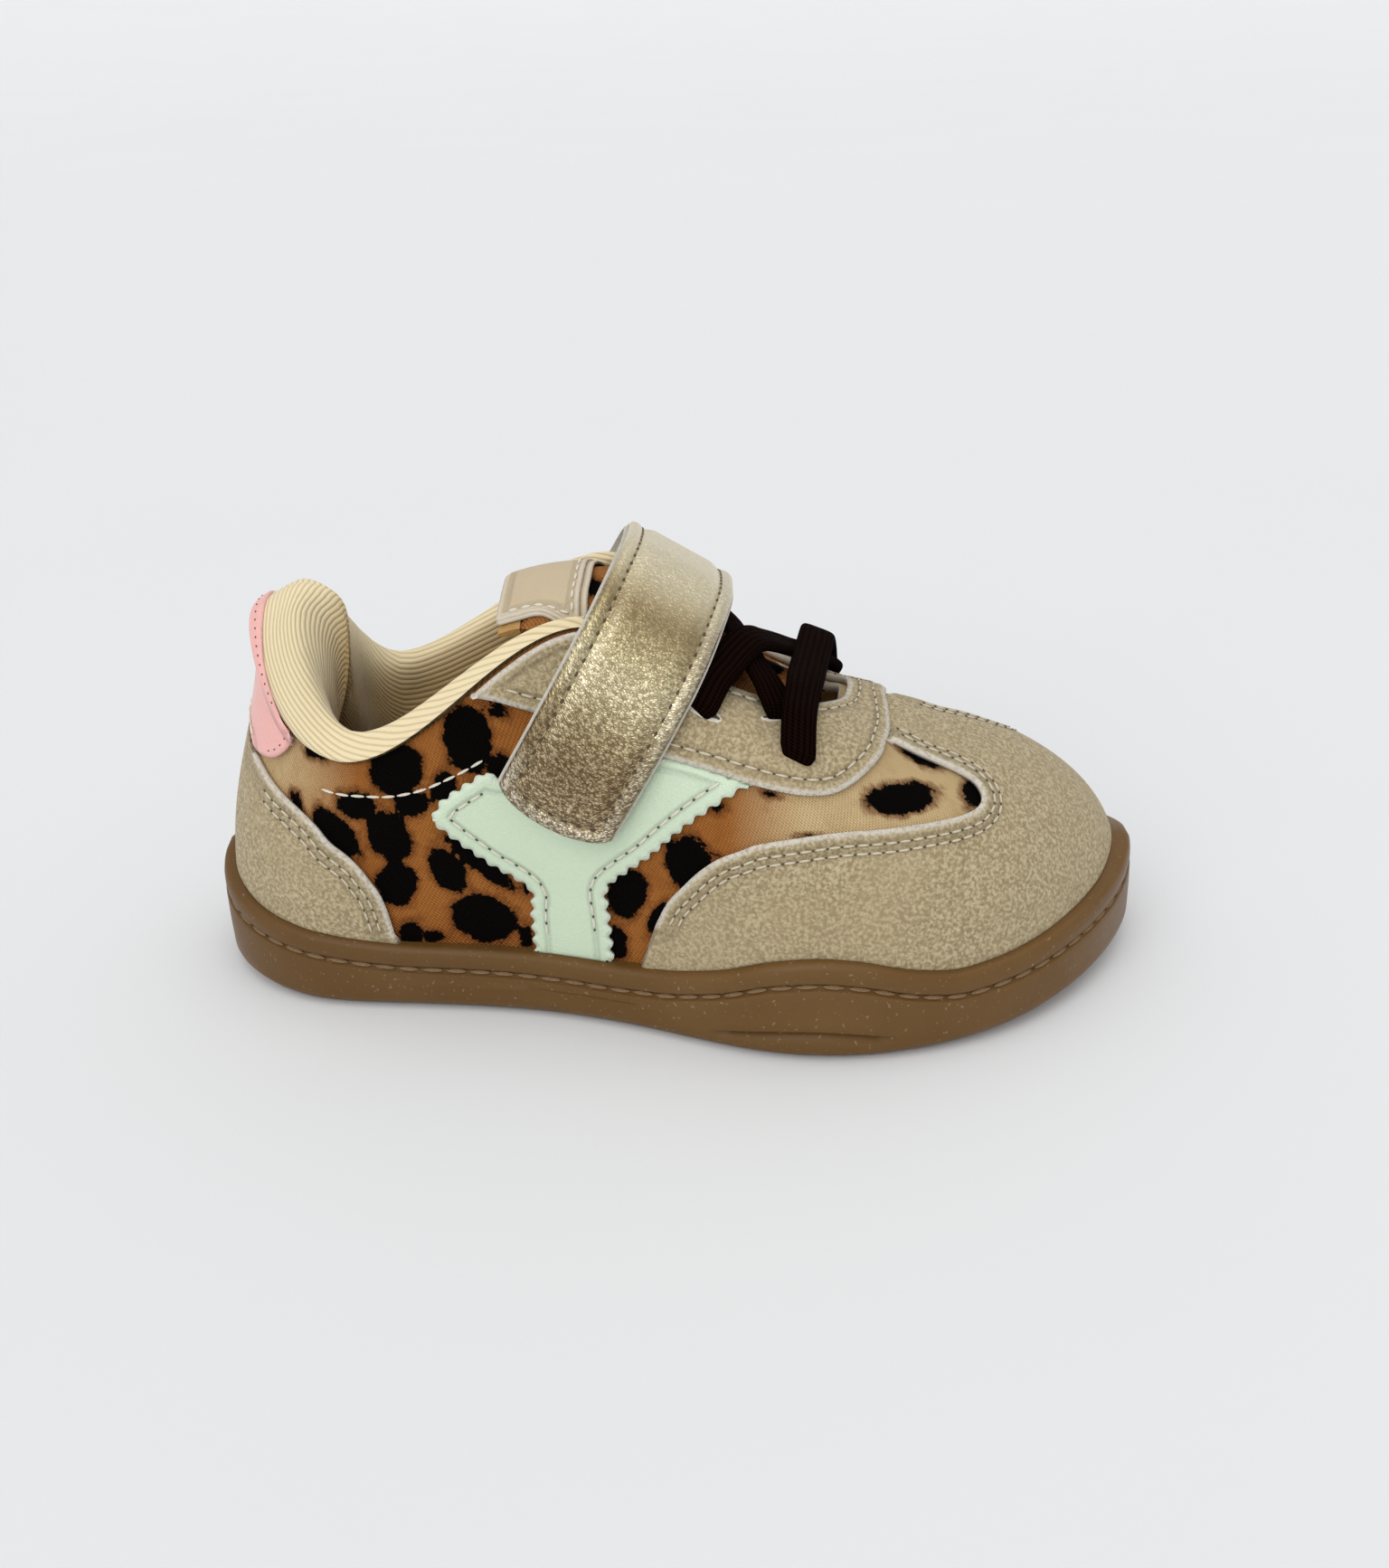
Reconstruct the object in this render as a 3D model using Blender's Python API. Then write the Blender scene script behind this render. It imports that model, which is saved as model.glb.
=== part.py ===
"""Child's barefoot shoe, right foot, standing empty on its sole.

Frame in metres: +X towards the toe, -Y the outer side, +Y the inner side, +Z up, floor at Z = 0.
One family of rib curves stands for the last: every piece of the upper is cut from it or offset from it.
"""

import math
from collections import namedtuple

import bmesh
import bpy
import numpy as np
from mathutils import Vector

# Driving dimensions of the sole
SOLE_LENGTH = 0.165
BALL_WIDTH = 0.072
HEEL_WIDTH = 0.051
FLOOR_THICKNESS = 0.0050
TOE_SPRING = 0.0038
HEEL_LIFT = 0.0015
RAND_WIDTH = 0.0035
RAND_HEIGHT = 0.0120
GROOVE_DROP = 0.0042
GROOVE_WIDTH = 0.0010
GROOVE_DEPTH = 0.0008
SOLE_EDGE_RADIUS = 0.0026
CRESCENT_DEPTH = 0.0007
FLEX_GROOVE_WIDTH = 0.0022
FLEX_GROOVE_DEPTH = 0.0012
FLEX_GROOVE_PITCH = 0.0090

# Driving dimensions of the last
COLLAR_WIDTH = 0.039
THROAT_WIDTH = 0.030
HEEL_HEIGHT = 0.064
COLLAR_DIP = 0.047
INSTEP_HEIGHT = 0.068
VAMP_HEIGHT = 0.0515

# Walls, layers and clearances
UPPER_WALL = 0.0016
OVERLAY_THICKNESS = 0.0010
PADDING_THICKNESS = 0.0052
PADDING_DEPTH = 0.0190
PADDING_CROWN = 0.0036
PADDING_WRAP = 0.0012
TONGUE_THICKNESS = 0.0046
INSOLE_THICKNESS = 0.0025
LABEL_LENGTH = 0.0150
LABEL_THICKNESS = 0.0010
STRAP_WIDTH = 0.0200
STRAP_THICKNESS = 0.0020
STRAP_SLANT = math.radians(30.5)
LACE_WIDTH = 0.0063
LACE_THICKNESS = 0.0020
CLEARANCE = 0.0003

# Mesh density
RIBS_A_SIDE = 30
ROWS = 11
STRAP_ROWS = 33
TONGUE_COLUMNS = (-1.0, -0.88, -0.66, -0.36, 0.0, 0.36, 0.66, 0.88, 1.0)

L, W, H, C, T = SOLE_LENGTH, BALL_WIDTH, HEEL_WIDTH, COLLAR_WIDTH, THROAT_WIDTH

Section = namedtuple("Section", "along across top_along top_across top_height rise lean reach drop")

# One row for each rib, from the heel round the outer side to the toe and back along the inner side.
# along, across: the sole's outline. top_: the upper's edge at collar and throat. rise and drop: how far the
# two handles of the rib's curve stand above its foot and below its top, as shares of its height.
# lean and reach: how far the same handles stand outwards.
SECTIONS = [
    Section(0.000 * L, 0.040 * H, 0.094 * L, 0.020 * C, 1.00 * HEEL_HEIGHT, 0.49, 0.006 * W, 0.045 * W, 0.38),
    Section(0.028 * L, -.230 * H, 0.106 * L, -.190 * C, 0.90 * HEEL_HEIGHT, 0.50, 0.006 * W, 0.055 * W, 0.35),
    Section(0.110 * L, -.416 * H, 0.142 * L, -.370 * C, 1.03 * COLLAR_DIP, 0.48, 0.012 * W, 0.055 * W, 0.34),
    Section(0.200 * L, -.455 * H, 0.205 * L, -.470 * C, 0.975 * COLLAR_DIP, 0.46, 0.016 * W, 0.050 * W, 0.33),
    Section(0.360 * L, -.475 * H, 0.315 * L, -.475 * C, 1.20 * COLLAR_DIP, 0.44, 0.016 * W, 0.070 * W, 0.32),
    Section(0.500 * L, -.405 * W, 0.440 * L, -.500 * T, 1.00 * INSTEP_HEIGHT, 0.44, 0.016 * W, 0.130 * W, 0.24),
    Section(0.630 * L, -.485 * W, 0.555 * L, -.440 * T, 1.14 * VAMP_HEIGHT, 0.44, 0.020 * W, 0.220 * W, 0.10),
    Section(0.760 * L, -.460 * W, 0.638 * L, -.360 * T, 1.03 * VAMP_HEIGHT, 0.44, 0.020 * W, 0.270 * W, 0.13),
    Section(0.870 * L, -.345 * W, 0.670 * L, -.230 * T, 1.00 * VAMP_HEIGHT, 0.50, 0.020 * W, 0.340 * W, 0.20),
    Section(0.955 * L, -.140 * W, 0.682 * L, -.090 * T, 0.98 * VAMP_HEIGHT, 0.53, 0.013 * W, 0.405 * W, 0.26),
    Section(1.000 * L, 0.120 * W, 0.685 * L, 0.080 * T, 0.98 * VAMP_HEIGHT, 0.54, 0.010 * W, 0.442 * W, 0.29),
    Section(0.975 * L, 0.310 * W, 0.682 * L, 0.240 * T, 0.955 * VAMP_HEIGHT, 0.53, 0.013 * W, 0.405 * W, 0.26),
    Section(0.900 * L, 0.425 * W, 0.670 * L, 0.360 * T, 0.93 * VAMP_HEIGHT, 0.50, 0.018 * W, 0.310 * W, 0.20),
    Section(0.750 * L, 0.485 * W, 0.632 * L, 0.470 * T, 0.95 * VAMP_HEIGHT, 0.44, 0.016 * W, 0.210 * W, 0.12),
    Section(0.620 * L, 0.470 * W, 0.550 * L, 0.540 * T, 1.09 * VAMP_HEIGHT, 0.44, 0.014 * W, 0.160 * W, 0.12),
    Section(0.450 * L, 0.385 * W, 0.445 * L, 0.570 * T, 1.00 * INSTEP_HEIGHT, 0.44, 0.008 * W, 0.080 * W, 0.24),
    Section(0.300 * L, 0.510 * H, 0.315 * L, 0.490 * C, 1.20 * COLLAR_DIP, 0.44, 0.008 * W, 0.055 * W, 0.32),
    Section(0.180 * L, 0.530 * H, 0.205 * L, 0.490 * C, 1.00 * COLLAR_DIP, 0.46, 0.010 * W, 0.050 * W, 0.33),
    Section(0.090 * L, 0.480 * H, 0.145 * L, 0.390 * C, 1.06 * COLLAR_DIP, 0.48, 0.010 * W, 0.055 * W, 0.34),
    Section(0.022 * L, 0.300 * H, 0.106 * L, 0.220 * C, 0.91 * HEEL_HEIGHT, 0.50, 0.006 * W, 0.055 * W, 0.35),
]
TOE_SECTION = 10

# Height of the sole's upper rim over the floor contact, as (share of the way from heel to toe, share of
# RAND_HEIGHT): high behind the heel, a wave at the ball and a bumper at the toe.
RIM = [
    (0.00, 1.58), (0.06, 1.46), (0.13, 1.27), (0.21, 1.15), (0.29, 1.02), (0.37, 1.01), (0.45, 0.97),
    (0.50, 1.03), (0.545, 1.22), (0.585, 1.48), (0.625, 1.57), (0.66, 1.50), (0.70, 1.28), (0.74, 1.13),
    (0.80, 1.13), (0.86, 1.16), (0.93, 1.20), (1.00, 1.36),
]

# Pattern pieces, as (way round from heel to toe tip, way up from the sole's floor to the upper's edge).
# The outer side has negative shares, so a piece may run through the toe tip at 1 or the heel at 0.
COUNTER_EDGE = [(0.288, 0.00), (0.280, 0.31), (0.270, 0.43), (0.257, 0.52), (0.234, 0.60), (0.213, 0.68),
                (0.180, 0.72), (0.130, 0.715), (0.090, 0.70)]
HEEL_TAB_EDGE = [(0.085, 0.71), (0.105, 0.74), (0.135, 0.81), (0.158, 0.90), (0.172, 0.985)]
EYESTAY_EDGE = [(0.392, 0.99), (0.409, 0.93), (0.436, 0.83), (0.470, 0.73), (0.500, 0.66), (0.535, 0.638),
                (0.577, 0.637), (0.621, 0.640), (0.650, 0.648), (0.675, 0.668), (0.700, 0.705), (0.725, 0.743),
                (0.763, 0.793), (0.811, 0.846), (0.892, 0.895), (0.975, 0.918)]
TOE_EDGE_OUTER = [(0.476, 0.12), (0.491, 0.19), (0.506, 0.26), (0.522, 0.31), (0.537, 0.355), (0.556, 0.403),
                  (0.574, 0.438), (0.597, 0.480), (0.642, 0.532), (0.675, 0.557), (0.710, 0.566),
                  (0.750, 0.570), (0.795, 0.566), (0.822, 0.570), (0.839, 0.585), (0.851, 0.608),
                  (0.859, 0.647), (0.854, 0.696), (0.844, 0.736), (0.829, 0.795), (0.815, 0.836)]
TOE_EDGE_INNER = [(0.476, 0.12), (0.491, 0.19), (0.506, 0.26), (0.522, 0.31), (0.537, 0.355), (0.556, 0.403),
                  (0.574, 0.438), (0.597, 0.480), (0.642, 0.527), (0.675, 0.550), (0.720, 0.560),
                  (0.770, 0.563), (0.830, 0.566), (0.880, 0.578), (0.912, 0.605), (0.928, 0.645),
                  (0.936, 0.700), (0.944, 0.750), (0.952, 0.800), (0.958, 0.862)]
SIDE_PANEL = [(0.333, 0.670), (0.344, 0.724), (0.360, 0.742), (0.388, 0.750), (0.400, 0.700), (0.455, 0.640),
              (0.524, 0.628), (0.592, 0.622), (0.560, 0.536), (0.531, 0.459), (0.497, 0.371), (0.475, 0.328),
              (0.456, 0.283), (0.453, 0.20), (0.449, 0.00), (0.386, 0.00), (0.391, 0.218), (0.395, 0.297),
              (0.387, 0.349), (0.370, 0.425), (0.351, 0.541)]

# Laces: way round and way up of the outer end, the same of the inner end, and how far the band is pressed
# into the bands beneath it. The lower crossing band, the upper crossing band and the front bar.
LACES = [
    (0.655, 0.930, 1.430, 0.860, 0.0000),
    (0.562, 0.800, 1.330, 0.900, 0.0014),
    (0.658, 0.800, 1.300, 0.800, -0.0003),
]

# Way round at which the collar ends and the throat starts
EYESTAY_START = 0.494

# Crescent step below the wave: share of the way round, and its height as a share of RAND_HEIGHT
CRESCENT = [(0.535, 0.30), (0.560, 0.38), (0.590, 0.46), (0.625, 0.50), (0.660, 0.44), (0.690, 0.32)]

# Padded roll of the collar, heaviest behind the heel: way round, thickness, crown and depth as shares of
# PADDING_THICKNESS, PADDING_CROWN and PADDING_DEPTH
COLLAR_ROLL = [
    (0.000, 2.60, 1.50, 1.00), (0.050, 2.55, 1.95, 1.00), (0.100, 2.45, 2.80, 1.00), (0.150, 2.15, 3.00, 1.00),
    (0.180, 1.80, 2.60, 1.00), (0.210, 1.35, 1.65, 1.00), (0.250, 1.04, 0.98, 1.00), (0.300, 1.00, 0.92, 1.00),
    (0.370, 0.96, 0.95, 0.90), (0.420, 0.76, 0.72, 0.55), (0.452, 0.46, 0.50, 0.30),
]

# Ridge of the tongue: (along as a share of SOLE_LENGTH, height as a share of INSTEP_HEIGHT)
TONGUE_RIDGE = [(0.352, 1.030), (0.380, 1.055), (0.440, 1.072), (0.490, 1.068), (0.515, 1.050), (0.535, 1.005),
                (0.561, 0.930), (0.582, 0.870), (0.604, 0.830), (0.640, 0.785), (0.664, 0.740)]
TONGUE_SHIFT = 0.0015

# Half width of the tongue: (along as a share of SOLE_LENGTH, half width as a share of THROAT_WIDTH)
TONGUE_HALF = [(0.352, 0.38), (0.450, 0.40), (0.490, 0.44), (0.535, 0.53), (0.580, 0.59), (0.630, 0.56),
               (0.664, 0.43)]


def clear_scene():
    for item in list(bpy.data.objects):
        bpy.data.objects.remove(item, do_unlink=True)


def new_collection(name):
    group = bpy.data.collections.new(name)
    bpy.context.scene.collection.children.link(group)
    return group


def new_material(name, colour, roughness, metallic=0.0):
    made = bpy.data.materials.new(name)
    made.use_nodes = True
    shader = made.node_tree.nodes["Principled BSDF"]
    shader.inputs["Base Color"].default_value = (*colour, 1.0)
    shader.inputs["Roughness"].default_value = roughness
    shader.inputs["Metallic"].default_value = metallic
    return made


def periodic_cubic(knots, rows):
    """Smooth closed curve through the rows of a table, which meets its own start."""
    step = np.diff(knots)
    count = len(step)
    slope = np.diff(np.vstack([rows, rows[:1]]), axis=0) / step[:, None]
    matrix = np.zeros((count, count))
    right = np.zeros_like(rows)
    for i in range(count):
        before = i - 1
        matrix[i, before] += step[i]
        matrix[i, i] += 2 * (step[i] + step[before])
        matrix[i, (i + 1) % count] += step[before]
        right[i] = 3 * (step[before] * slope[i] + step[i] * slope[before])
    tangent = np.linalg.solve(matrix, right)

    def at(share):
        place = np.mod(np.asarray(share, float), 1.0) * knots[-1]
        i = np.clip(np.searchsorted(knots, place, side="right") - 1, 0, count - 1)
        h = step[i][..., None]
        t = (place - knots[i])[..., None] / h
        k = (i + 1) % count
        start = (1 + 2 * t) * (1 - t) ** 2 * rows[i] + t * (1 - t) ** 2 * h * tangent[i]
        end = t * t * (3 - 2 * t) * rows[k] + t * t * (t - 1) * h * tangent[k]
        return start + end

    return at


def table_curve(table, at):
    """Smooth value of a two-column table at a share: straight steps eased by a small running mean."""
    xs = np.array([row[0] for row in table])
    ys = np.array([row[1] for row in table])
    at = np.asarray(at, float)
    blur = 0.012
    return (np.interp(at - blur, xs, ys) + 2 * np.interp(at, xs, ys) + np.interp(at + blur, xs, ys)) / 4


section_rows = np.array(SECTIONS)
chords = np.diff(np.vstack([section_rows, section_rows[:1]])[:, :2], axis=0)
section_knots = np.concatenate([[0.0], np.cumsum(np.linalg.norm(chords, axis=1) ** 0.5)])
section_at = periodic_cubic(section_knots, section_rows)
TOE_SHARE = section_knots[TOE_SECTION] / section_knots[-1]


def loop_share(way):
    """Share of the closed loop for a way round: outer side 0 to 1, inner side beyond 1 down to the heel at 2."""
    way = np.asarray(way, float)
    outer = way * TOE_SHARE
    inner = TOE_SHARE + (way - 1) * (1 - TOE_SHARE)
    return np.where(way <= 1, outer, inner)


def side_way(way, side):
    """Way round of a point that a pattern gives for one side: -1 is the outer side, 1 the inner side."""
    return way if side < 0 else 2 - way


def from_heel(way):
    """Share of the way from the heel to the toe tip, the same on both sides."""
    way = np.mod(np.asarray(way, float), 2.0)
    return np.where(way <= 1, way, 2 - way)


def spring(along):
    share = np.asarray(along) / SOLE_LENGTH
    toe = np.clip((share - 0.70) / 0.30, 0, 1) ** 1.8
    heel = np.clip((0.14 - share) / 0.14, 0, 1) ** 1.8
    return TOE_SPRING * toe + HEEL_LIFT * heel


def sole_outline(way):
    return section_at(loop_share(way))[..., :2]


def outward(way):
    nudge = 0.004
    way = np.asarray(way, float)
    along = sole_outline(way + nudge) - sole_outline(way - nudge)
    across = np.stack([along[..., 1], -along[..., 0]], axis=-1)
    return across / np.linalg.norm(across, axis=-1, keepdims=True)


def last_point(way, up):
    """Outer face of the upper: each rib is one cubic curve from the sole's floor to the upper's edge."""
    way = np.asarray(way, float)
    t = np.asarray(up, float)[..., None]
    row = section_at(loop_share(way))
    out = outward(way)
    foot = row[..., :2] - out * RAND_WIDTH
    low = (FLOOR_THICKNESS + CLEARANCE + spring(foot[..., 0]))[..., None]
    top = row[..., 2:4]
    high = row[..., 4:5]
    away = foot - top + out * 0.006
    away = away / np.linalg.norm(away, axis=-1, keepdims=True)
    start = np.concatenate([foot, low], axis=-1)
    rise = np.concatenate([foot + out * row[..., 6:7], low + (high - low) * row[..., 5:6]], axis=-1)
    drop = np.concatenate([top + away * row[..., 7:8], high - (high - low) * row[..., 8:9]], axis=-1)
    end = np.concatenate([top, high], axis=-1)
    return (1 - t) ** 3 * start + 3 * t * (1 - t) ** 2 * rise + 3 * t * t * (1 - t) * drop + t ** 3 * end


def last_normal(way, up):
    nudge = 0.002
    inner_up = np.clip(up, nudge, 1 - nudge)
    round_step = last_point(np.asarray(way) + nudge, up) - last_point(np.asarray(way) - nudge, up)
    up_step = last_point(way, inner_up + nudge) - last_point(way, inner_up - nudge)
    normal = np.cross(round_step, up_step)
    return normal / np.linalg.norm(normal, axis=-1, keepdims=True)


def offset_point(way, up, depth):
    """Point of the last moved outwards by a depth, or inwards by a negative one."""
    way, up = np.broadcast_arrays(np.asarray(way, float), np.asarray(up, float))
    return last_point(way, up) + last_normal(way, up) * np.asarray(depth)[..., None]


def rim_height(way):
    foot = sole_outline(way)[..., 0]
    return RAND_HEIGHT * table_curve(RIM, from_heel(way)) + spring(foot)


def up_at_height(way, height):
    """Way up a rib at which it reaches a height near its foot."""
    steps = np.linspace(0, 0.6, 61)
    heights = last_point(np.full(61, float(way)), steps)[:, 2]
    return float(np.interp(height, heights, steps))


def station_ways():
    """Ways round at which the outer and the inner side have the same places along the sole."""
    turn = np.linspace(0, math.pi, RIBS_A_SIDE + 1)
    share = (1 - np.cos(turn)) / 2 * 0.72 + turn / math.pi * 0.28
    fine = np.linspace(0, 1, 801)
    outer = sole_outline(fine)[:, 0]
    inner = sole_outline(2 - fine)[:, 0]
    heel_x, toe_x = outer[0], outer[-1]
    wanted = heel_x + (toe_x - heel_x) * share
    outer_ways = np.interp(wanted, np.maximum.accumulate(outer), fine)
    inner_ways = 2 - np.interp(wanted, np.maximum.accumulate(inner), fine)
    outer_ways[0], outer_ways[-1] = 0.0, 1.0
    return np.concatenate([outer_ways, inner_ways[-2:0:-1]])


RIB_WAYS = station_ways()
RIB_COUNT = len(RIB_WAYS)
UP_ROWS = np.linspace(0, 1, ROWS)


def link_mesh(name, bm, group, material):
    bmesh.ops.recalc_face_normals(bm, faces=bm.faces)
    if bm.calc_volume(signed=True) < 0:
        bmesh.ops.reverse_faces(bm, faces=bm.faces)
    mesh = bpy.data.meshes.new(name)
    bm.to_mesh(mesh)
    bm.free()
    mesh.shade_smooth()
    mesh.set_sharp_from_angle(angle=math.radians(40))
    made = bpy.data.objects.new(name, mesh)
    group.objects.link(made)
    made.data.materials.append(material)
    return made


def add_ring(bm, points):
    return [bm.verts.new(Vector(point)) for point in points]


def bridge(bm, first, second, closed=True):
    count = len(first)
    for i in range(count if closed else count - 1):
        j = (i + 1) % count
        bm.faces.new((first[i], first[j], second[j], second[i]))


def cap_across(bm, ring):
    """Closes a sole-shaped ring with strips from the outer side straight across to the inner side."""
    count = len(ring)
    half = count // 2
    for i in range(half):
        corners = [ring[i], ring[i + 1], ring[(count - i - 1) % count], ring[(count - i) % count]]
        kept = list(dict.fromkeys(corners))
        bm.faces.new(kept)


def closed_rings(name, rings, group, material, capped=True):
    """Closed solid from rings of equal count, one after another from its lower cap to its upper cap."""
    bm = bmesh.new()
    made = [add_ring(bm, ring) for ring in rings]
    for first, second in zip(made, made[1:]):
        bridge(bm, first, second)
    if capped:
        cap_across(bm, made[0])
        cap_across(bm, made[-1])
    else:
        bridge(bm, made[-1], made[0])
    return link_mesh(name, bm, group, material)


def slab(name, outer, inner, group, material, wrap=False):
    """Closed solid between two grids of points, with rows along the first index."""
    rows, columns = outer.shape[:2]
    bm = bmesh.new()
    front = [add_ring(bm, outer[i]) for i in range(rows)]
    back = [add_ring(bm, inner[i]) for i in range(rows)]
    for i in range(rows if wrap else rows - 1):
        j = (i + 1) % rows
        bridge(bm, front[i], front[j], closed=False)
        bridge(bm, back[i], back[j], closed=False)
        bm.faces.new((front[i][0], front[j][0], back[j][0], back[i][0]))
        bm.faces.new((front[i][-1], front[j][-1], back[j][-1], back[i][-1]))
    if not wrap:
        bridge(bm, front[0], back[0], closed=False)
        bridge(bm, front[-1], back[-1], closed=False)
    return link_mesh(name, bm, group, material)


def inset_ring(inset, height):
    """Ring of the sole's outline moved inwards, at a height over the sprung underside."""
    flat = sole_outline(RIB_WAYS) - outward(RIB_WAYS) * np.asarray(inset)[..., None]
    return np.column_stack([flat, np.asarray(height) + spring(flat[:, 0])])


def build_outsole(group, cutters, material):
    """Cupsole: rounded underside, lower band, stitch groove, upper band, rim, inner wall and floor."""
    rim = rim_height(RIB_WAYS) - spring(sole_outline(RIB_WAYS)[:, 0])
    groove = rim - GROOVE_DROP
    zero = np.zeros(RIB_COUNT)
    share = from_heel(RIB_WAYS)
    step_height = RAND_HEIGHT * table_curve(CRESCENT, share)
    inside = ((share > CRESCENT[0][0]) & (share < CRESCENT[-1][0])).astype(float)
    radius = SOLE_EDGE_RADIUS
    middle = np.minimum(0.5 * (radius + groove), np.where(inside > 0, step_height, 1.0))
    below = middle - 0.0007
    rings = [
        inset_ring(zero + 2.2 * radius, zero),
        inset_ring(zero + 0.9 * radius, zero),
        inset_ring(zero + 0.35 * radius, zero + 0.28 * radius),
        inset_ring(zero, zero + 0.9 * radius),
        inset_ring(zero + CRESCENT_DEPTH * inside, below),
        inset_ring(zero - CRESCENT_DEPTH * 0.3 * inside, middle),
        inset_ring(zero + 0.0001, groove - GROOVE_WIDTH / 2),
        inset_ring(zero + GROOVE_DEPTH, groove),
        inset_ring(zero + 0.0003, groove + GROOVE_WIDTH / 2),
        inset_ring(zero + 0.0004, rim - 0.0009),
        inset_ring(zero + 0.0009, rim),
    ]
    lip_up = np.array([up_at_height(way, top) for way, top in zip(RIB_WAYS, rim_height(RIB_WAYS))])
    rings.append(offset_point(RIB_WAYS, lip_up, np.full(RIB_COUNT, CLEARANCE)))
    for share_up in (0.66, 0.33, 0.0):
        rings.append(offset_point(RIB_WAYS, lip_up * share_up, np.full(RIB_COUNT, CLEARANCE)))
    corner = rings[-1].copy()
    corner[:, 2] = FLOOR_THICKNESS + spring(corner[:, 0])
    rings[-1] = corner
    sole = closed_rings("outsole", rings, group, material)

    first, last = 0.56 * SOLE_LENGTH, 0.86 * SOLE_LENGTH
    forefoot = np.arange(first, last, FLEX_GROOVE_PITCH)
    heel = np.arange(0.13 * SOLE_LENGTH, 0.32 * SOLE_LENGTH, FLEX_GROOVE_PITCH)
    for index, along in enumerate(np.concatenate([heel, forefoot])):
        width = np.interp(along, [0, 0.35 * SOLE_LENGTH, 0.6 * SOLE_LENGTH, 0.88 * SOLE_LENGTH],
                          [0.52 * HEEL_WIDTH, 0.60 * HEEL_WIDTH, 0.66 * BALL_WIDTH, 0.42 * BALL_WIDTH])
        centre = np.interp(along, [0, 0.4 * SOLE_LENGTH, SOLE_LENGTH], [0.001, 0.0, 0.003])
        bpy.ops.mesh.primitive_cube_add(size=1.0)
        cutter = bpy.context.object
        cutter.name = f"flex_groove_{index + 1}"
        cutter.scale = (FLEX_GROOVE_WIDTH, float(width), 2 * FLEX_GROOVE_DEPTH)
        cutter.location = (float(along), float(centre), float(spring(along)))
        for holder in list(cutter.users_collection):
            holder.objects.unlink(cutter)
        cutters.objects.link(cutter)
        cutter.hide_render = True
        cutter.display_type = "WIRE"
        cut = sole.modifiers.new(cutter.name, "BOOLEAN")
        cut.operation = "DIFFERENCE"
        cut.solver = "EXACT"
        cut.object = cutter
    return sole


def build_insole(group, material):
    """Loose footbed on the sole's floor, clear of the upper's wall all round."""
    inset = UPPER_WALL + 2 * CLEARANCE
    low = offset_point(RIB_WAYS, np.zeros(RIB_COUNT), np.full(RIB_COUNT, -inset))
    low[:, 2] = FLOOR_THICKNESS + CLEARANCE + spring(low[:, 0])
    high = low.copy()
    high[:, 2] += INSOLE_THICKNESS
    return closed_rings("insole", [low, high], group, material)


def build_upper(group, material):
    """One wall round the foot, open underneath, at the collar and along the throat."""
    ways = RIB_WAYS[:, None] + np.zeros(ROWS)[None, :]
    ups = UP_ROWS[None, :] + np.zeros(RIB_COUNT)[:, None]
    outer = offset_point(ways, ups, np.zeros_like(ways))
    inner = offset_point(ways, ups, np.full_like(ways, -UPPER_WALL))
    return slab("upper", outer, inner, group, material, wrap=True)


def cut_by_lines(bm, axis, places):
    """Cuts a flat pattern piece along lines of constant way round (axis 0) or way up (axis 1)."""
    direction = Vector((1, 0, 0)) if axis == 0 else Vector((0, 1, 0))
    for place in places:
        faces = bm.verts[:] + bm.edges[:] + bm.faces[:]
        bmesh.ops.bisect_plane(bm, geom=faces, dist=1e-6, plane_co=direction * float(place), plane_no=direction)


def pattern_piece(name, outline, group, material, low=None, high=None):
    """Flat outline in (way round, way up), cut along the ribs and draped between two offsets of the last."""
    low = CLEARANCE if low is None else low
    high = low + OVERLAY_THICKNESS if high is None else high
    flat = bmesh.new()
    flat.faces.new([flat.verts.new((way, up, 0)) for way, up in outline])
    ways = [way for way, _ in outline]
    ribs = np.concatenate([RIB_WAYS - 2, RIB_WAYS, RIB_WAYS + 2])
    cut_by_lines(flat, 0, [way for way in ribs if min(ways) < way < max(ways)])
    ups = [up for _, up in outline]
    cut_by_lines(flat, 1, [up for up in UP_ROWS if min(ups) < up < max(ups)])
    flat.verts.index_update()
    shares = np.array([vertex.co[:2] for vertex in flat.verts])
    count = len(shares)
    outer = offset_point(shares[:, 0], shares[:, 1], np.full(count, high))
    inner = offset_point(shares[:, 0], shares[:, 1], np.full(count, low))
    bm = bmesh.new()
    front = add_ring(bm, outer)
    back = add_ring(bm, inner)
    for face in flat.faces:
        corners = [vertex.index for vertex in face.verts]
        bm.faces.new([front[i] for i in corners])
        bm.faces.new([back[i] for i in reversed(corners)])
    for edge in flat.edges:
        if edge.is_boundary:
            a, b = (vertex.index for vertex in edge.verts)
            bm.faces.new((front[a], front[b], back[b], back[a]))
    flat.free()
    return link_mesh(name, bm, group, material)


def rim_line(first, last, count):
    """Edge of a pattern piece that rests just above the sole's rim."""
    ways = np.linspace(first, last, count)
    return [(float(way), up_at_height(way, float(rim_height(way)) + CLEARANCE)) for way in ways]


def above_rim(points, margin=0.01):
    """Points of a pattern edge that lie above the sole's rim."""
    return [(w, u) for w, u in points if u > up_at_height(w, float(rim_height(w)) + CLEARANCE) + margin]


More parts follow.
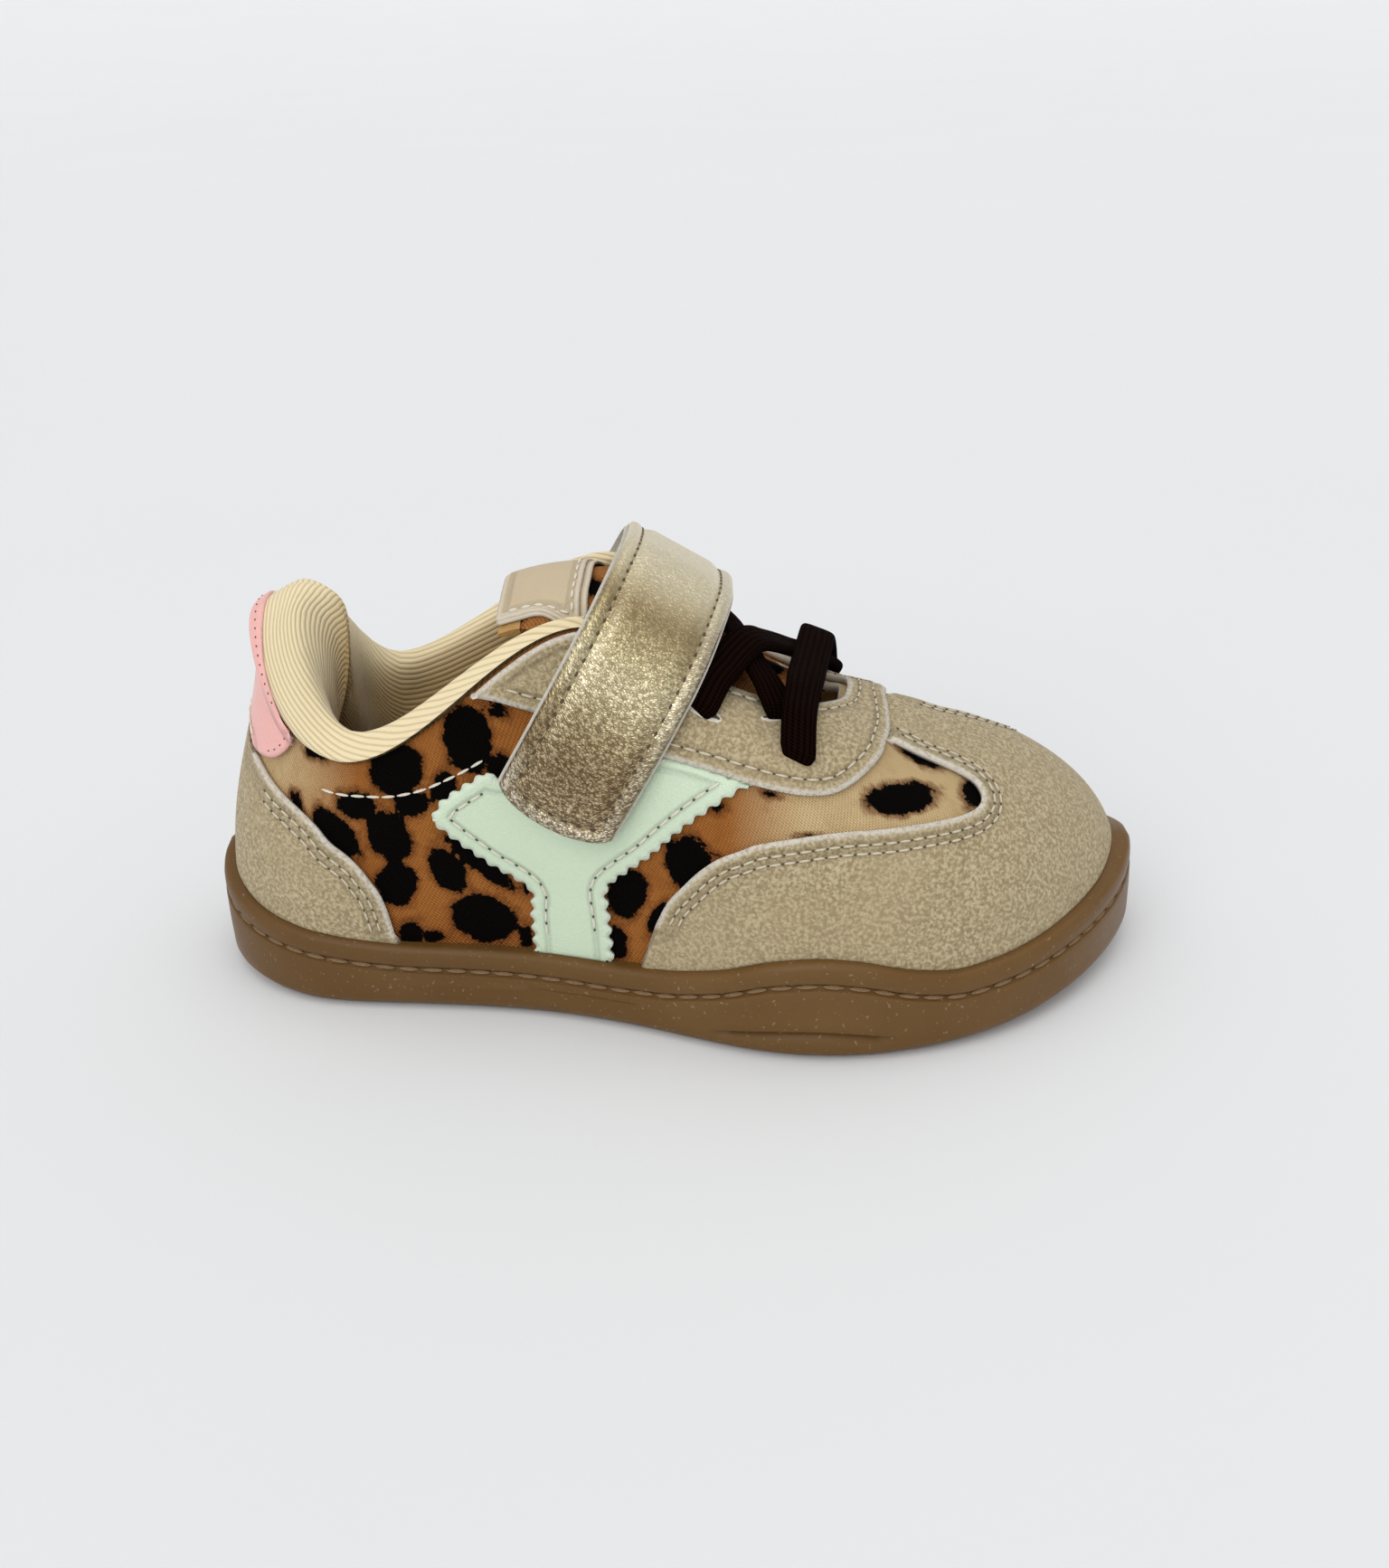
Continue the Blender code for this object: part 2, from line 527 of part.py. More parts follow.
def build_overlays(group, suede, tab, panel):
    """Toe overlay with its two windows, heel counter, heel tab, eyestay and both side panels."""
    outer_edge = above_rim([(way, up) for way, up in TOE_EDGE_OUTER])
    inner_edge = above_rim([(2 - way, up) for way, up in TOE_EDGE_INNER])
    top = [(0.892, 0.880), (0.975, 0.903), (1.02, 0.903)]
    start, end = TOE_EDGE_OUTER[0][0] - 0.006, 2 - TOE_EDGE_INNER[0][0] + 0.006
    outline = rim_line(start, end, 49)[::-1] + outer_edge + top + inner_edge[::-1]
    pattern_piece("toe_overlay", outline, group, suede)

    rear = above_rim([(way, up) for way, up in COUNTER_EDGE])
    mirrored = [(-way, up) for way, up in rear]
    ends = COUNTER_EDGE[0][0]
    pattern_piece("heel_counter", rim_line(-ends, ends, 25) + rear + mirrored[::-1], group, suede)

    edge = HEEL_TAB_EDGE
    pattern_piece("heel_tab", [(-w, u) for w, u in edge[::-1]] + edge, group, tab)

    low_edge = [(way, up) for way, up in EYESTAY_EDGE]
    far_edge = [(2 - way, up) for way, up in EYESTAY_EDGE[::-1]]
    throat = [(way, 0.992) for way in np.linspace(EYESTAY_EDGE[0][0] + 0.01, 2 - EYESTAY_EDGE[0][0] - 0.01, 60)]
    pattern_piece("eyestay", low_edge + far_edge + throat[::-1], group, suede, low=1.3 * CLEARANCE)

    for side, name in ((-1, "side_panel_outer"), (1, "side_panel_inner")):
        points = []
        for way, up in SIDE_PANEL:
            placed = side_way(way, side)
            points.append((placed, max(up, up_at_height(placed, float(rim_height(placed)) + CLEARANCE))))
        pattern_piece(name, points, group, panel)


def roll_share(way, column):
    """Share from a column of the collar roll's table at a way round, the same on both sides."""
    return float(np.interp(abs(way), [row[0] for row in COLLAR_ROLL], [row[column] for row in COLLAR_ROLL]))


def roll_profile(way, seam, gap):
    """Cross-section of the collar roll: outer face, crown and inner face standing off the wall inside."""
    inward = -outward(way)
    thick = PADDING_THICKNESS * roll_share(way, 1)
    crown = PADDING_CROWN * roll_share(way, 2)
    depth = PADDING_DEPTH * roll_share(way, 3)
    wrap = PADDING_WRAP * roll_share(way, 3)
    profile = [(-wrap, gap), (-wrap, 0.40 * crown), (0.16 * thick, 0.80 * crown), (0.48 * thick, crown + gap),
               (0.80 * thick, 0.90 * crown), (thick, 0.35 * crown), (thick, -0.22 * depth),
               (0.88 * thick, -0.52 * depth), (UPPER_WALL + gap + 0.30 * thick, -0.88 * depth)]
    return [seam + np.array([*(inward * out), up]) for out, up in profile], depth


def build_collar(group, material):
    """Padded roll from one eyestay corner round the heel to the other: it caps the upper's edge and hangs inside."""
    start = COLLAR_ROLL[-1][0]
    centred = np.where(RIB_WAYS > 1, RIB_WAYS - 2, RIB_WAYS)
    ways = np.sort(centred[np.abs(centred) < start])
    ways = np.concatenate([[-start], ways, [start]])
    bm = bmesh.new()
    rings = []
    for way in ways:
        seam = last_point(way, 1.0)
        ahead, behind = last_point(way + 0.01, 1.0), last_point(way - 0.01, 1.0)
        slope = abs(ahead[2] - behind[2]) / np.hypot(*(ahead - behind)[:2])
        gap = CLEARANCE * (1.5 + 1.6 * slope)
        points, depth = roll_profile(way, seam, gap)
        for up_share in (0.88, 0.45, 0.0):
            level = float(seam[2]) - depth * up_share - (gap if up_share else 0.0)
            ups = np.linspace(0.45, 1.0, 56)
            heights = last_point(np.full(56, way), ups)[:, 2]
            points.append(offset_point(way, float(np.interp(level, heights, ups)), -(UPPER_WALL + gap)))
        points[-1] = points[-1] + np.array([0, 0, gap])
        rings.append(add_ring(bm, points))
    for first, second in zip(rings, rings[1:]):
        bridge(bm, first, second)
    bm.faces.new(rings[0])
    bm.faces.new(rings[-1][::-1])
    return link_mesh("collar_padding", bm, group, material)


def ridge_height(along):
    return INSTEP_HEIGHT * table_curve(TONGUE_RIDGE, np.asarray(along) / SOLE_LENGTH)


def throat_way(along, side):
    """Way round of the rib whose top end lies at a place along the throat."""
    ways = np.linspace(0.36, 0.99, 127)
    placed = ways if side < 0 else 2 - ways
    tops = last_point(placed, np.ones(127))[:, 0]
    return side_way(float(np.interp(along, np.maximum.accumulate(tops), ways)), side)


def under_upper():
    """Samples of the upper's inner face round the throat, a clearance below it."""
    ways, ups = np.meshgrid(np.linspace(0.46, 1.54, 150), np.linspace(0.55, 1.0, 34), indexing="ij")
    return offset_point(ways, ups, np.full_like(ways, -UPPER_WALL - 3 * CLEARANCE)).reshape(-1, 3)


def tongue_profile(along, ceiling):
    """Points of the tongue's upper face at a place along, from the outer edge over the ridge to the inner edge."""
    corner = float(last_point(EYESTAY_START, 1.0)[0])
    front = float(last_point(1.0, 1.0)[0])
    held = min(max(along, corner), front - 0.0020)
    outer = last_point(throat_way(held, -1), 1.0)
    inner = last_point(throat_way(held, 1), 1.0)
    centre = 0.5 * (outer[1] + inner[1]) - TONGUE_SHIFT
    half_throat = max(0.5 * (inner[1] - outer[1]), 0.35 * THROAT_WIDTH)
    height = float(ridge_height(along))
    drop = float(ridge_height(held)) - 0.5 * (outer[2] + inner[2]) + UPPER_WALL + 2 * CLEARANCE
    half = THROAT_WIDTH * float(table_curve(TONGUE_HALF, along / SOLE_LENGTH))
    points = []
    for share in TONGUE_COLUMNS:
        y = centre + half * share
        z = height - max(drop, 0.0) * abs(half * share / half_throat) ** 1.4
        near = np.hypot(ceiling[:, 0] - along, ceiling[:, 1] - y) < 0.0026
        if near.any():
            z = min(z, float(ceiling[near, 2].min()))
        points.append((along, y, z))
    return np.array(points)


def tongue_grids():
    front = float(last_point(1.0, 1.0)[0])
    rear = TONGUE_RIDGE[0][0] * SOLE_LENGTH
    stations = np.linspace(rear, front - 0.0035, 15)
    ceiling = under_upper()
    top = np.array([tongue_profile(along, ceiling) for along in stations])
    return stations, top


def face_normals(grid):
    """Upward normals of a grid of points."""
    along = np.gradient(grid, axis=0)
    across = np.gradient(grid, axis=1)
    normal = np.cross(along, across)
    return normal / np.linalg.norm(normal, axis=-1, keepdims=True)


def build_tongue(group, material, label_material):
    """Padded tongue under the throat, thickest at its free end, and the plain label sewn on it."""
    stations, top = tongue_grids()
    normal = face_normals(top)
    share = (stations - stations[0]) / (stations[-1] - stations[0])
    thick = TONGUE_THICKNESS * (1.0 - 0.52 * share)
    edge = 1.0 - 0.62 * np.abs(np.array(TONGUE_COLUMNS)) ** 4
    depth = thick[:, None] * edge[None, :]
    depth[0] *= 0.35
    bottom = top - normal * depth[..., None]
    slab("tongue", top, bottom, group, material)

    columns = slice(1, -1)
    rows = stations <= stations[0] + LABEL_LENGTH
    base = top[rows][:, columns]
    lift = normal[rows][:, columns]
    slab("tongue_label", base + lift * (CLEARANCE + LABEL_THICKNESS), base + lift * CLEARANCE, group, label_material)
    return top


def strap_frame():
    """Unit vectors of the strap's width and of the direction square to it in side view."""
    width = np.array([math.cos(STRAP_SLANT), 0.0, -math.sin(STRAP_SLANT)])
    rise = np.array([math.sin(STRAP_SLANT), 0.0, math.cos(STRAP_SLANT)])
    return width, rise


def outer_hull(points):
    """Upper chain of a flat convex hull, from the lowest point on the outer side to that on the inner side."""
    points = points[np.lexsort((points[:, 1], points[:, 0]))]
    chain = []
    for point in points:
        while len(chain) >= 2:
            a, b = chain[-2], chain[-1]
            if (b[0] - a[0]) * (point[1] - a[1]) - (b[1] - a[1]) * (point[0] - a[0]) < 0:
                break
            chain.pop()
        chain.append(point)
    return np.array(chain)


def draped_path(centre, half_width, direction, rise, covered):
    """Taut path of a band across the foot: the hull of what lies under it, seen along its width."""
    offset = covered @ direction - centre @ direction
    under = covered[np.abs(offset) < half_width]
    return outer_hull(np.column_stack([under[:, 1], under @ rise]))


def resample(path, count, start=0.0, end=1.0):
    steps = np.linalg.norm(np.diff(path, axis=0), axis=1)
    length = np.concatenate([[0.0], np.cumsum(steps)])
    wanted = np.linspace(start, end, count) * length[-1]
    return np.column_stack([np.interp(wanted, length, path[:, k]) for k in range(2)])


def path_normals(path):
    step = np.gradient(path, axis=0)
    normal = np.column_stack([-step[:, 1], step[:, 0]])
    return normal / np.linalg.norm(normal, axis=1, keepdims=True)


def covered_points(tongue_top):
    """Everything that the strap and the laces lie on: overlays on both sides and the tongue."""
    ways = np.concatenate([np.linspace(0.34, 0.80, 70), 2 - np.linspace(0.34, 0.80, 70)])
    ups = np.linspace(0.40, 1.0, 40)
    way_grid, up_grid = np.meshgrid(ways, ups, indexing="ij")
    skin = offset_point(way_grid, up_grid, np.full_like(way_grid, CLEARANCE + OVERLAY_THICKNESS))
    fine = []
    for i in range(len(tongue_top) - 1):
        for share in (0.0, 0.25, 0.5, 0.75):
            fine.append(tongue_top[i] * (1 - share) + tongue_top[i + 1] * share)
    return np.concatenate([skin.reshape(-1, 3), np.array(fine).reshape(-1, 3)])


def build_strap(group, material, covered):
    """Closing strap: fixed on the inner side, over the instep, with its round end on the outer side."""
    width, rise = strap_frame()
    anchor = np.array([0.532 * SOLE_LENGTH, 0.0, INSTEP_HEIGHT * 1.10])
    path = draped_path(anchor, STRAP_WIDTH / 2 + 0.0005, width, rise, covered)
    low_outer = last_point(0.43, 0.52) @ rise
    low_inner = last_point(2 - 0.50, 0.66) @ rise
    first = int(np.argmin(path[:, 0]))
    last = int(np.argmax(path[:, 0]))
    hull = path[first:last + 1]
    hull = np.vstack([[hull[0][0], low_outer], hull[hull[:, 1] > low_outer + 0.002]])
    keep = (hull[:, 0] < 0) | (hull[:, 1] > low_inner)
    hull = hull[keep]
    rows = resample(hull, STRAP_ROWS)
    rows[1:-1] = (rows[:-2] + 2 * rows[1:-1] + rows[2:]) / 4
    normal = path_normals(rows)
    under = rows + normal * 4 * CLEARANCE
    over = under + normal * STRAP_THICKNESS
    middle = anchor @ width
    lengths = np.concatenate([[0.0], np.cumsum(np.linalg.norm(np.diff(rows, axis=0), axis=1))])
    columns = np.linspace(-1, 1, 7)
    half = STRAP_WIDTH / 2
    grids = []
    for face in (over, under):
        grid = np.zeros((len(rows), len(columns), 3))
        for j, column in enumerate(columns):
            round_end = 0.45 * half * (1 - math.sqrt(max(0.0, 1 - (0.97 * column) ** 2)))
            shifted = np.maximum(lengths, round_end + lengths * (1 - round_end / lengths[-1]))
            y = np.interp(shifted, lengths, face[:, 0])
            z = np.interp(shifted, lengths, face[:, 1])
            along = middle + column * half
            grid[:, j] = width[None, :] * along + rise[None, :] * z[:, None]
            grid[:, j, 1] = y
        grids.append(grid)
    return slab("strap", grids[0], grids[1], group, material)


def lace_band(start, end, covered, rows=13):
    """Flat band from one lace hole to another, as rounded sections that lean with what lies beneath them."""
    start, end = np.array(start), np.array(end)
    run = end - start
    run[2] = 0
    span = np.linalg.norm(run)
    run /= span
    side = np.array([run[1], -run[0], 0.0])
    offset = (covered - start) @ side / LACE_WIDTH
    reach = (covered - start) @ run
    levels = []
    for place in np.linspace(0, span, 24):
        close = np.abs(reach - place) < span / 20
        left = covered[close & (offset > -0.6) & (offset < -0.2), 2]
        right = covered[close & (offset < 0.6) & (offset > 0.2), 2]
        if len(left) and len(right):
            levels.append((place, 0.5 * (left.max() + right.max()), (right.max() - left.max()) / LACE_WIDTH))
    levels = np.array([(0.0, start[2], levels[0][2])] + levels[1:-1] + [(span, end[2], levels[-1][2])])
    path = resample(outer_hull(levels[:, :2]), rows)
    lean = np.interp(path[:, 0], levels[:, 0], np.convolve(np.pad(levels[:, 2], 3, "edge"), np.ones(7) / 7, "valid"))
    half, thick = LACE_WIDTH / 2, LACE_THICKNESS
    outline = [(-half, 0.5), (-0.8 * half, 0.93), (0.0, 1.0), (0.8 * half, 0.93),
               (half, 0.5), (0.8 * half, 0.07), (0.0, 0.0), (-0.8 * half, 0.07)]
    rings = []
    for place, out, slope in zip(path, path_normals(path), lean):
        across_axis = (side + np.array([0, 0, slope])) / math.hypot(1, slope)
        outward_axis = run * out[0] + np.array([0, 0, out[1]])
        base = start * [1, 1, 0] + run * place[0] + np.array([0, 0, place[1]])
        rings.append(np.array([base + outward_axis * (2 * CLEARANCE + height * thick) + across_axis * across
                               for across, height in outline]))
    return rings


def band_solid(name, rings, group, material):
    bm = bmesh.new()
    made = [add_ring(bm, ring) for ring in rings]
    for first, second in zip(made, made[1:]):
        bridge(bm, first, second)
    bm.faces.new(made[0][::-1])
    bm.faces.new(made[-1])
    return link_mesh(name, bm, group, material)


def lace_end(way, up):
    """Point on the face of the eyestay, where a lace goes through it."""
    return offset_point(way, up, CLEARANCE + OVERLAY_THICKNESS)


def build_laces(group, cutters, material, covered):
    """Elastic laces: two bands that cross, and one bar over their front ends."""
    bands = []
    for near_way, near_up, far_way, far_up, pressed in LACES:
        beneath = np.concatenate([covered] + [band - np.array([0, 0, pressed]) for band in bands])
        rings = lace_band(lace_end(near_way, near_up), lace_end(far_way, far_up), beneath)
        between = [ring * (1 - share) + following * share for ring, following in zip(rings, rings[1:])
                   for share in (0.0, 0.25, 0.5, 0.75)]
        bands.append(np.concatenate(between + rings[-1:]))
        if len(bands) == 1:
            crossing = band_solid("lace_crossing", rings, group, material)
        elif len(bands) == 2:
            second = band_solid("lace_second_band", rings, cutters, material)
        else:
            band_solid("lace_bar", rings, group, material)
    second.hide_render = True
    second.display_type = "WIRE"
    join = crossing.modifiers.new("second_band", "BOOLEAN")
    join.operation = "UNION"
    join.solver = "EXACT"
    join.object = second
    return bands


def centre_on_floor(objects):
    """Moves every piece so that the origin lies on the floor under the middle of the shoe's box."""
    bpy.context.view_layer.update()
    graph = bpy.context.evaluated_depsgraph_get()
    corners = []
    for made in objects:
        evaluated = made.evaluated_get(graph)
        corners += [made.matrix_world @ Vector(corner) for corner in evaluated.bound_box]
    low = [min(corner[k] for corner in corners) for k in range(3)]
    high = [max(corner[k] for corner in corners) for k in range(3)]
    shift = Vector((-(low[0] + high[0]) / 2, -(low[1] + high[1]) / 2, -low[2]))
    for made in bpy.data.objects:
        made.location += shift


def main():
    clear_scene()
    shoe = new_collection("barefoot_shoe")
    cutters = new_collection("cutters")
    gum = new_material("gum_rubber", (0.20, 0.10, 0.045), 0.55)
    cloth = new_material("leopard_cloth", (0.52, 0.27, 0.10), 0.9)
    suede = new_material("greige_suede", (0.44, 0.36, 0.26), 0.95)
    twill = new_material("cream_twill", (0.76, 0.62, 0.38), 0.85)
    pink = new_material("pink_leather", (0.80, 0.36, 0.36), 0.45)
    mint = new_material("mint_leather", (0.55, 0.74, 0.58), 0.5)
    gold = new_material("gold_leather", (0.62, 0.52, 0.34), 0.35, 0.7)
    label = new_material("tan_label", (0.55, 0.45, 0.30), 0.6)
    elastic = new_material("brown_elastic", (0.05, 0.02, 0.015), 0.85)
    foam = new_material("tan_footbed", (0.55, 0.33, 0.17), 0.9)

    build_outsole(shoe, cutters, gum)
    build_insole(shoe, foam)
    build_upper(shoe, cloth)
    build_overlays(shoe, suede, pink, mint)
    build_collar(shoe, twill)
    tongue_top = build_tongue(shoe, cloth, label)
    covered = covered_points(tongue_top)
    lace_points = build_laces(shoe, cutters, elastic, covered)
    build_strap(shoe, gold, np.concatenate([covered] + lace_points))
    centre_on_floor(list(shoe.objects))


main()
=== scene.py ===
"""Looks of a child's barefoot sneaker, right foot, standing empty on its sole."""

import math
from collections import namedtuple

import bmesh
import bpy
import numpy as np
from mathutils import Matrix, Vector
from mathutils import noise as field
from mathutils.kdtree import KDTree


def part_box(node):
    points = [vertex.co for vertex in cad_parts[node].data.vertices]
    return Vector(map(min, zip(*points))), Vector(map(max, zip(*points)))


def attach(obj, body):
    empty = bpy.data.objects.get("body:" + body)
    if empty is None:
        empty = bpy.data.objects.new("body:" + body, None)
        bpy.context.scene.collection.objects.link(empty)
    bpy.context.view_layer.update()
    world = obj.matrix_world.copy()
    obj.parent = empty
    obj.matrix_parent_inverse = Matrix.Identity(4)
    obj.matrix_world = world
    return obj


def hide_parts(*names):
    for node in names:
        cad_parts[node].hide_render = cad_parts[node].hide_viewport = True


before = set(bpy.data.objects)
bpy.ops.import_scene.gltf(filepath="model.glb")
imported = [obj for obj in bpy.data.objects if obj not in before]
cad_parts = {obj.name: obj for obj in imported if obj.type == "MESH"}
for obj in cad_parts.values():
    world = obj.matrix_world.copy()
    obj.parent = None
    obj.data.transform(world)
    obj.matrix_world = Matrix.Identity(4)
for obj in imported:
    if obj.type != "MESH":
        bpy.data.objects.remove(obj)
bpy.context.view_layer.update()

bpy.context.scene.view_settings.view_transform = "Standard"

# Camera. It stands beside the outer side, a little ahead of the middle, and looks down on the shoe
# from about the height of a hand held over a table.
CAMERA_PLACE = (0.0343, -0.2520, 0.1628)
CAMERA_PITCH = math.radians(27.1)
CAMERA_YAW = math.radians(-6.6)
CAMERA_ROLL = math.radians(-2.4)
CAMERA_LENS = 37.37

forward = Vector((math.sin(CAMERA_YAW) * math.cos(CAMERA_PITCH),
                  math.cos(CAMERA_YAW) * math.cos(CAMERA_PITCH), -math.sin(CAMERA_PITCH)))
level = Vector((math.cos(CAMERA_YAW), -math.sin(CAMERA_YAW), 0.0))
above = level.cross(forward)
camera_right = math.cos(CAMERA_ROLL) * level + math.sin(CAMERA_ROLL) * above
camera_up = math.cos(CAMERA_ROLL) * above - math.sin(CAMERA_ROLL) * level
camera = bpy.data.objects.new("camera", bpy.data.cameras.new("camera"))
bpy.context.scene.collection.objects.link(camera)
camera.data.lens = CAMERA_LENS
camera.data.sensor_width = 36.0
camera.data.clip_start = 0.01
turned = Matrix((camera_right, camera_up, -forward)).transposed().to_4x4()
camera.matrix_world = Matrix.Translation(CAMERA_PLACE) @ turned
bpy.context.scene.camera = camera

# Table and light. A matt white table that curves up far behind the shoe, a soft light overhead, a wider and
# stronger one in front, and a pale room that fills the shadows. Each light: its source, its spread, its power.
TABLE_TONES = ((0.745, 0.755, 0.765), (0.765, 0.775, 0.785))
TABLE_RADIUS = 2.0
COVE_SPREAD = 1.16
COVE_RISES = (0.004, 0.012, 0.03, 0.06, 0.11, 0.18, 0.28, 0.42, 0.6, 0.9)
LIGHTS = [
    ("overhead", (0.10, -0.05, 1.00), 45.0, 0.54),
    ("front", (-0.25, -1.00, 0.62), 60.0, 1.42),
]


def node(tree, kind, inputs=(), **settings):
    """New shader node with its settings, and each input either linked or given a value."""
    made = tree.nodes.new(kind)
    for key, value in settings.items():
        setattr(made, key, value)
    for place, value in dict(inputs).items():
        if isinstance(value, bpy.types.NodeSocket):
            tree.links.new(value, made.inputs[place])
        else:
            made.inputs[place].default_value = value
    return made


def figure(tree, operation, *values):
    return node(tree, "ShaderNodeMath", enumerate(values), operation=operation).outputs[0]


def blend_colours(tree, share, first, second, kind="MIX"):
    made = node(tree, "ShaderNodeMix", {0: share, 6: first, 7: second}, data_type="RGBA", blend_type=kind)
    return made.outputs[2]


def ease(tree, value, low, high, to_low=0.0, to_high=1.0):
    """Smooth step of a value from low to high."""
    places = {"Value": value, 1: low, 2: high, 3: to_low, 4: to_high}
    return node(tree, "ShaderNodeMapRange", places, interpolation_type="SMOOTHSTEP").outputs[0]


def noise(tree, vector, scale, detail=2.0, roughness=0.5):
    places = {"Vector": vector, "Scale": scale, "Detail": detail, "Roughness": roughness}
    return node(tree, "ShaderNodeTexNoise", places).outputs[0]


def place_of(tree):
    return tree.nodes.new("ShaderNodeTexCoord").outputs["Object"]


def kept_value(tree, name, output="Fac"):
    return node(tree, "ShaderNodeAttribute", attribute_name=name).outputs[output]


def new_material(name, colour, roughness, **constants):
    """Material with its constant shader values set on their own sockets."""
    made = bpy.data.materials.new(name)
    made.use_nodes = True
    shader = made.node_tree.nodes["Principled BSDF"]
    shader.inputs["Base Color"].default_value = (*colour, 1.0)
    shader.inputs["Roughness"].default_value = roughness
    for key, value in constants.items():
        shader.inputs[key.replace("_", " ")].default_value = value
    return made, made.node_tree, shader


def raise_surface(tree, shader, height, distance, strength=1.0):
    bump = node(tree, "ShaderNodeBump", {"Height": height, "Distance": distance, "Strength": strength})
    tree.links.new(bump.outputs[0], shader.inputs["Normal"])


def colour_by(tree, shader, colour):
    tree.links.new(colour, shader.inputs["Base Color"])


def tinted(tree, colour, mask, strength, tint, kind="MIX"):
    """Colour with a tint laid on it where a mask says, at a strength."""
    return blend_colours(tree, figure(tree, "MULTIPLY", mask, strength), colour, tint, kind)


def flecked(name, low, high, scale, roughness, detail=2.0, bump=0.0, **constants):
    """Plain finish whose colour wanders between two tones in flecks, which may be raised too."""
    made, tree, shader = new_material(name, high, roughness, **constants)
    flecks = noise(tree, place_of(tree), scale, detail)
    colour_by(tree, shader, blend_colours(tree, flecks, (*low, 1.0), (*high, 1.0)))
    if bump:
        raise_surface(tree, shader, flecks, bump)
    return made


def face_towards(bm, way_out):
    """Faces of an open skin turned to look one way together."""
    bmesh.ops.recalc_face_normals(bm, faces=bm.faces)
    if sum(face.normal.dot(way_out) for face in bm.faces) < 0:
        bmesh.ops.reverse_faces(bm, faces=bm.faces)


table_bm = bmesh.new()
bmesh.ops.create_circle(table_bm, cap_ends=True, segments=96, radius=TABLE_RADIUS)
for rise in COVE_RISES:
    cove = bmesh.ops.extrude_edge_only(table_bm, edges=[edge for edge in table_bm.edges if edge.is_boundary])
    rim_verts = [vertex for vertex in cove["geom"] if isinstance(vertex, bmesh.types.BMVert)]
    bmesh.ops.scale(table_bm, vec=(COVE_SPREAD, COVE_SPREAD, 1.0), verts=rim_verts)
    bmesh.ops.translate(table_bm, vec=(0.0, 0.0, rise), verts=rim_verts)
face_towards(table_bm, Vector((0, 0, 1)))
table_mesh = bpy.data.meshes.new("table")
table_bm.to_mesh(table_mesh)
table_bm.free()
table_mesh.shade_smooth()
table = bpy.data.objects.new("table", table_mesh)
bpy.context.scene.collection.objects.link(table)
table.data.materials.append(flecked("table_white", *TABLE_TONES, 6.0, 0.75))

for name, source, spread, power in LIGHTS:
    lamp = bpy.data.lights.new(name, "SUN")
    lamp.angle = math.radians(spread)
    lamp.energy = power
    holder = bpy.data.objects.new(name, lamp)
    bpy.context.scene.collection.objects.link(holder)
    holder.rotation_euler = Vector(source).to_track_quat("Z", "Y").to_euler()
room = bpy.data.worlds.new("room")
bpy.context.scene.world = room
room.use_nodes = True
skyward = node(room.node_tree, "ShaderNodeTexCoord").outputs["Generated"]
height_of_room = node(room.node_tree, "ShaderNodeSeparateXYZ", {0: skyward}).outputs[2]
ceiling_light = ease(room.node_tree, height_of_room, 0.12, 0.66, 0.16, 0.74)
room.node_tree.nodes["Background"].inputs[0].default_value = (1.0, 1.0, 1.0, 1.0)
room.node_tree.links.new(ceiling_light, room.node_tree.nodes["Background"].inputs[1])


# Outsole. A cupsole moulded in one piece of brown, faintly see-through gum rubber: a rounded underside with
# flex grooves, a rim that waves up at the ball, and a groove where a dark thread sews it to the upper.
SOLE_LENGTH = 0.165
BALL_WIDTH = 0.072
HEEL_WIDTH = 0.051
FLOOR_THICKNESS = 0.0050
TOE_SPRING = 0.0038
HEEL_LIFT = 0.0015
RAND_WIDTH = 0.0035
RAND_HEIGHT = 0.0120
GROOVE_DROP = 0.0042
GROOVE_WIDTH = 0.0013
GROOVE_DEPTH = 0.0010
SOLE_EDGE_RADIUS = 0.0026
CRESCENT_DEPTH = 0.0011
FLEX_GROOVE_WIDTH = 0.0022
FLEX_GROOVE_DEPTH = 0.0012
FLEX_GROOVE_PITCH = 0.0090
COLLAR_WIDTH = 0.039
THROAT_WIDTH = 0.030
HEEL_HEIGHT = 0.064
COLLAR_DIP = 0.047
INSTEP_HEIGHT = 0.068
VAMP_HEIGHT = 0.0515
CLEARANCE = 0.0003
SOLE_STATIONS = 210
L, W, H, C, T = SOLE_LENGTH, BALL_WIDTH, HEEL_WIDTH, COLLAR_WIDTH, THROAT_WIDTH

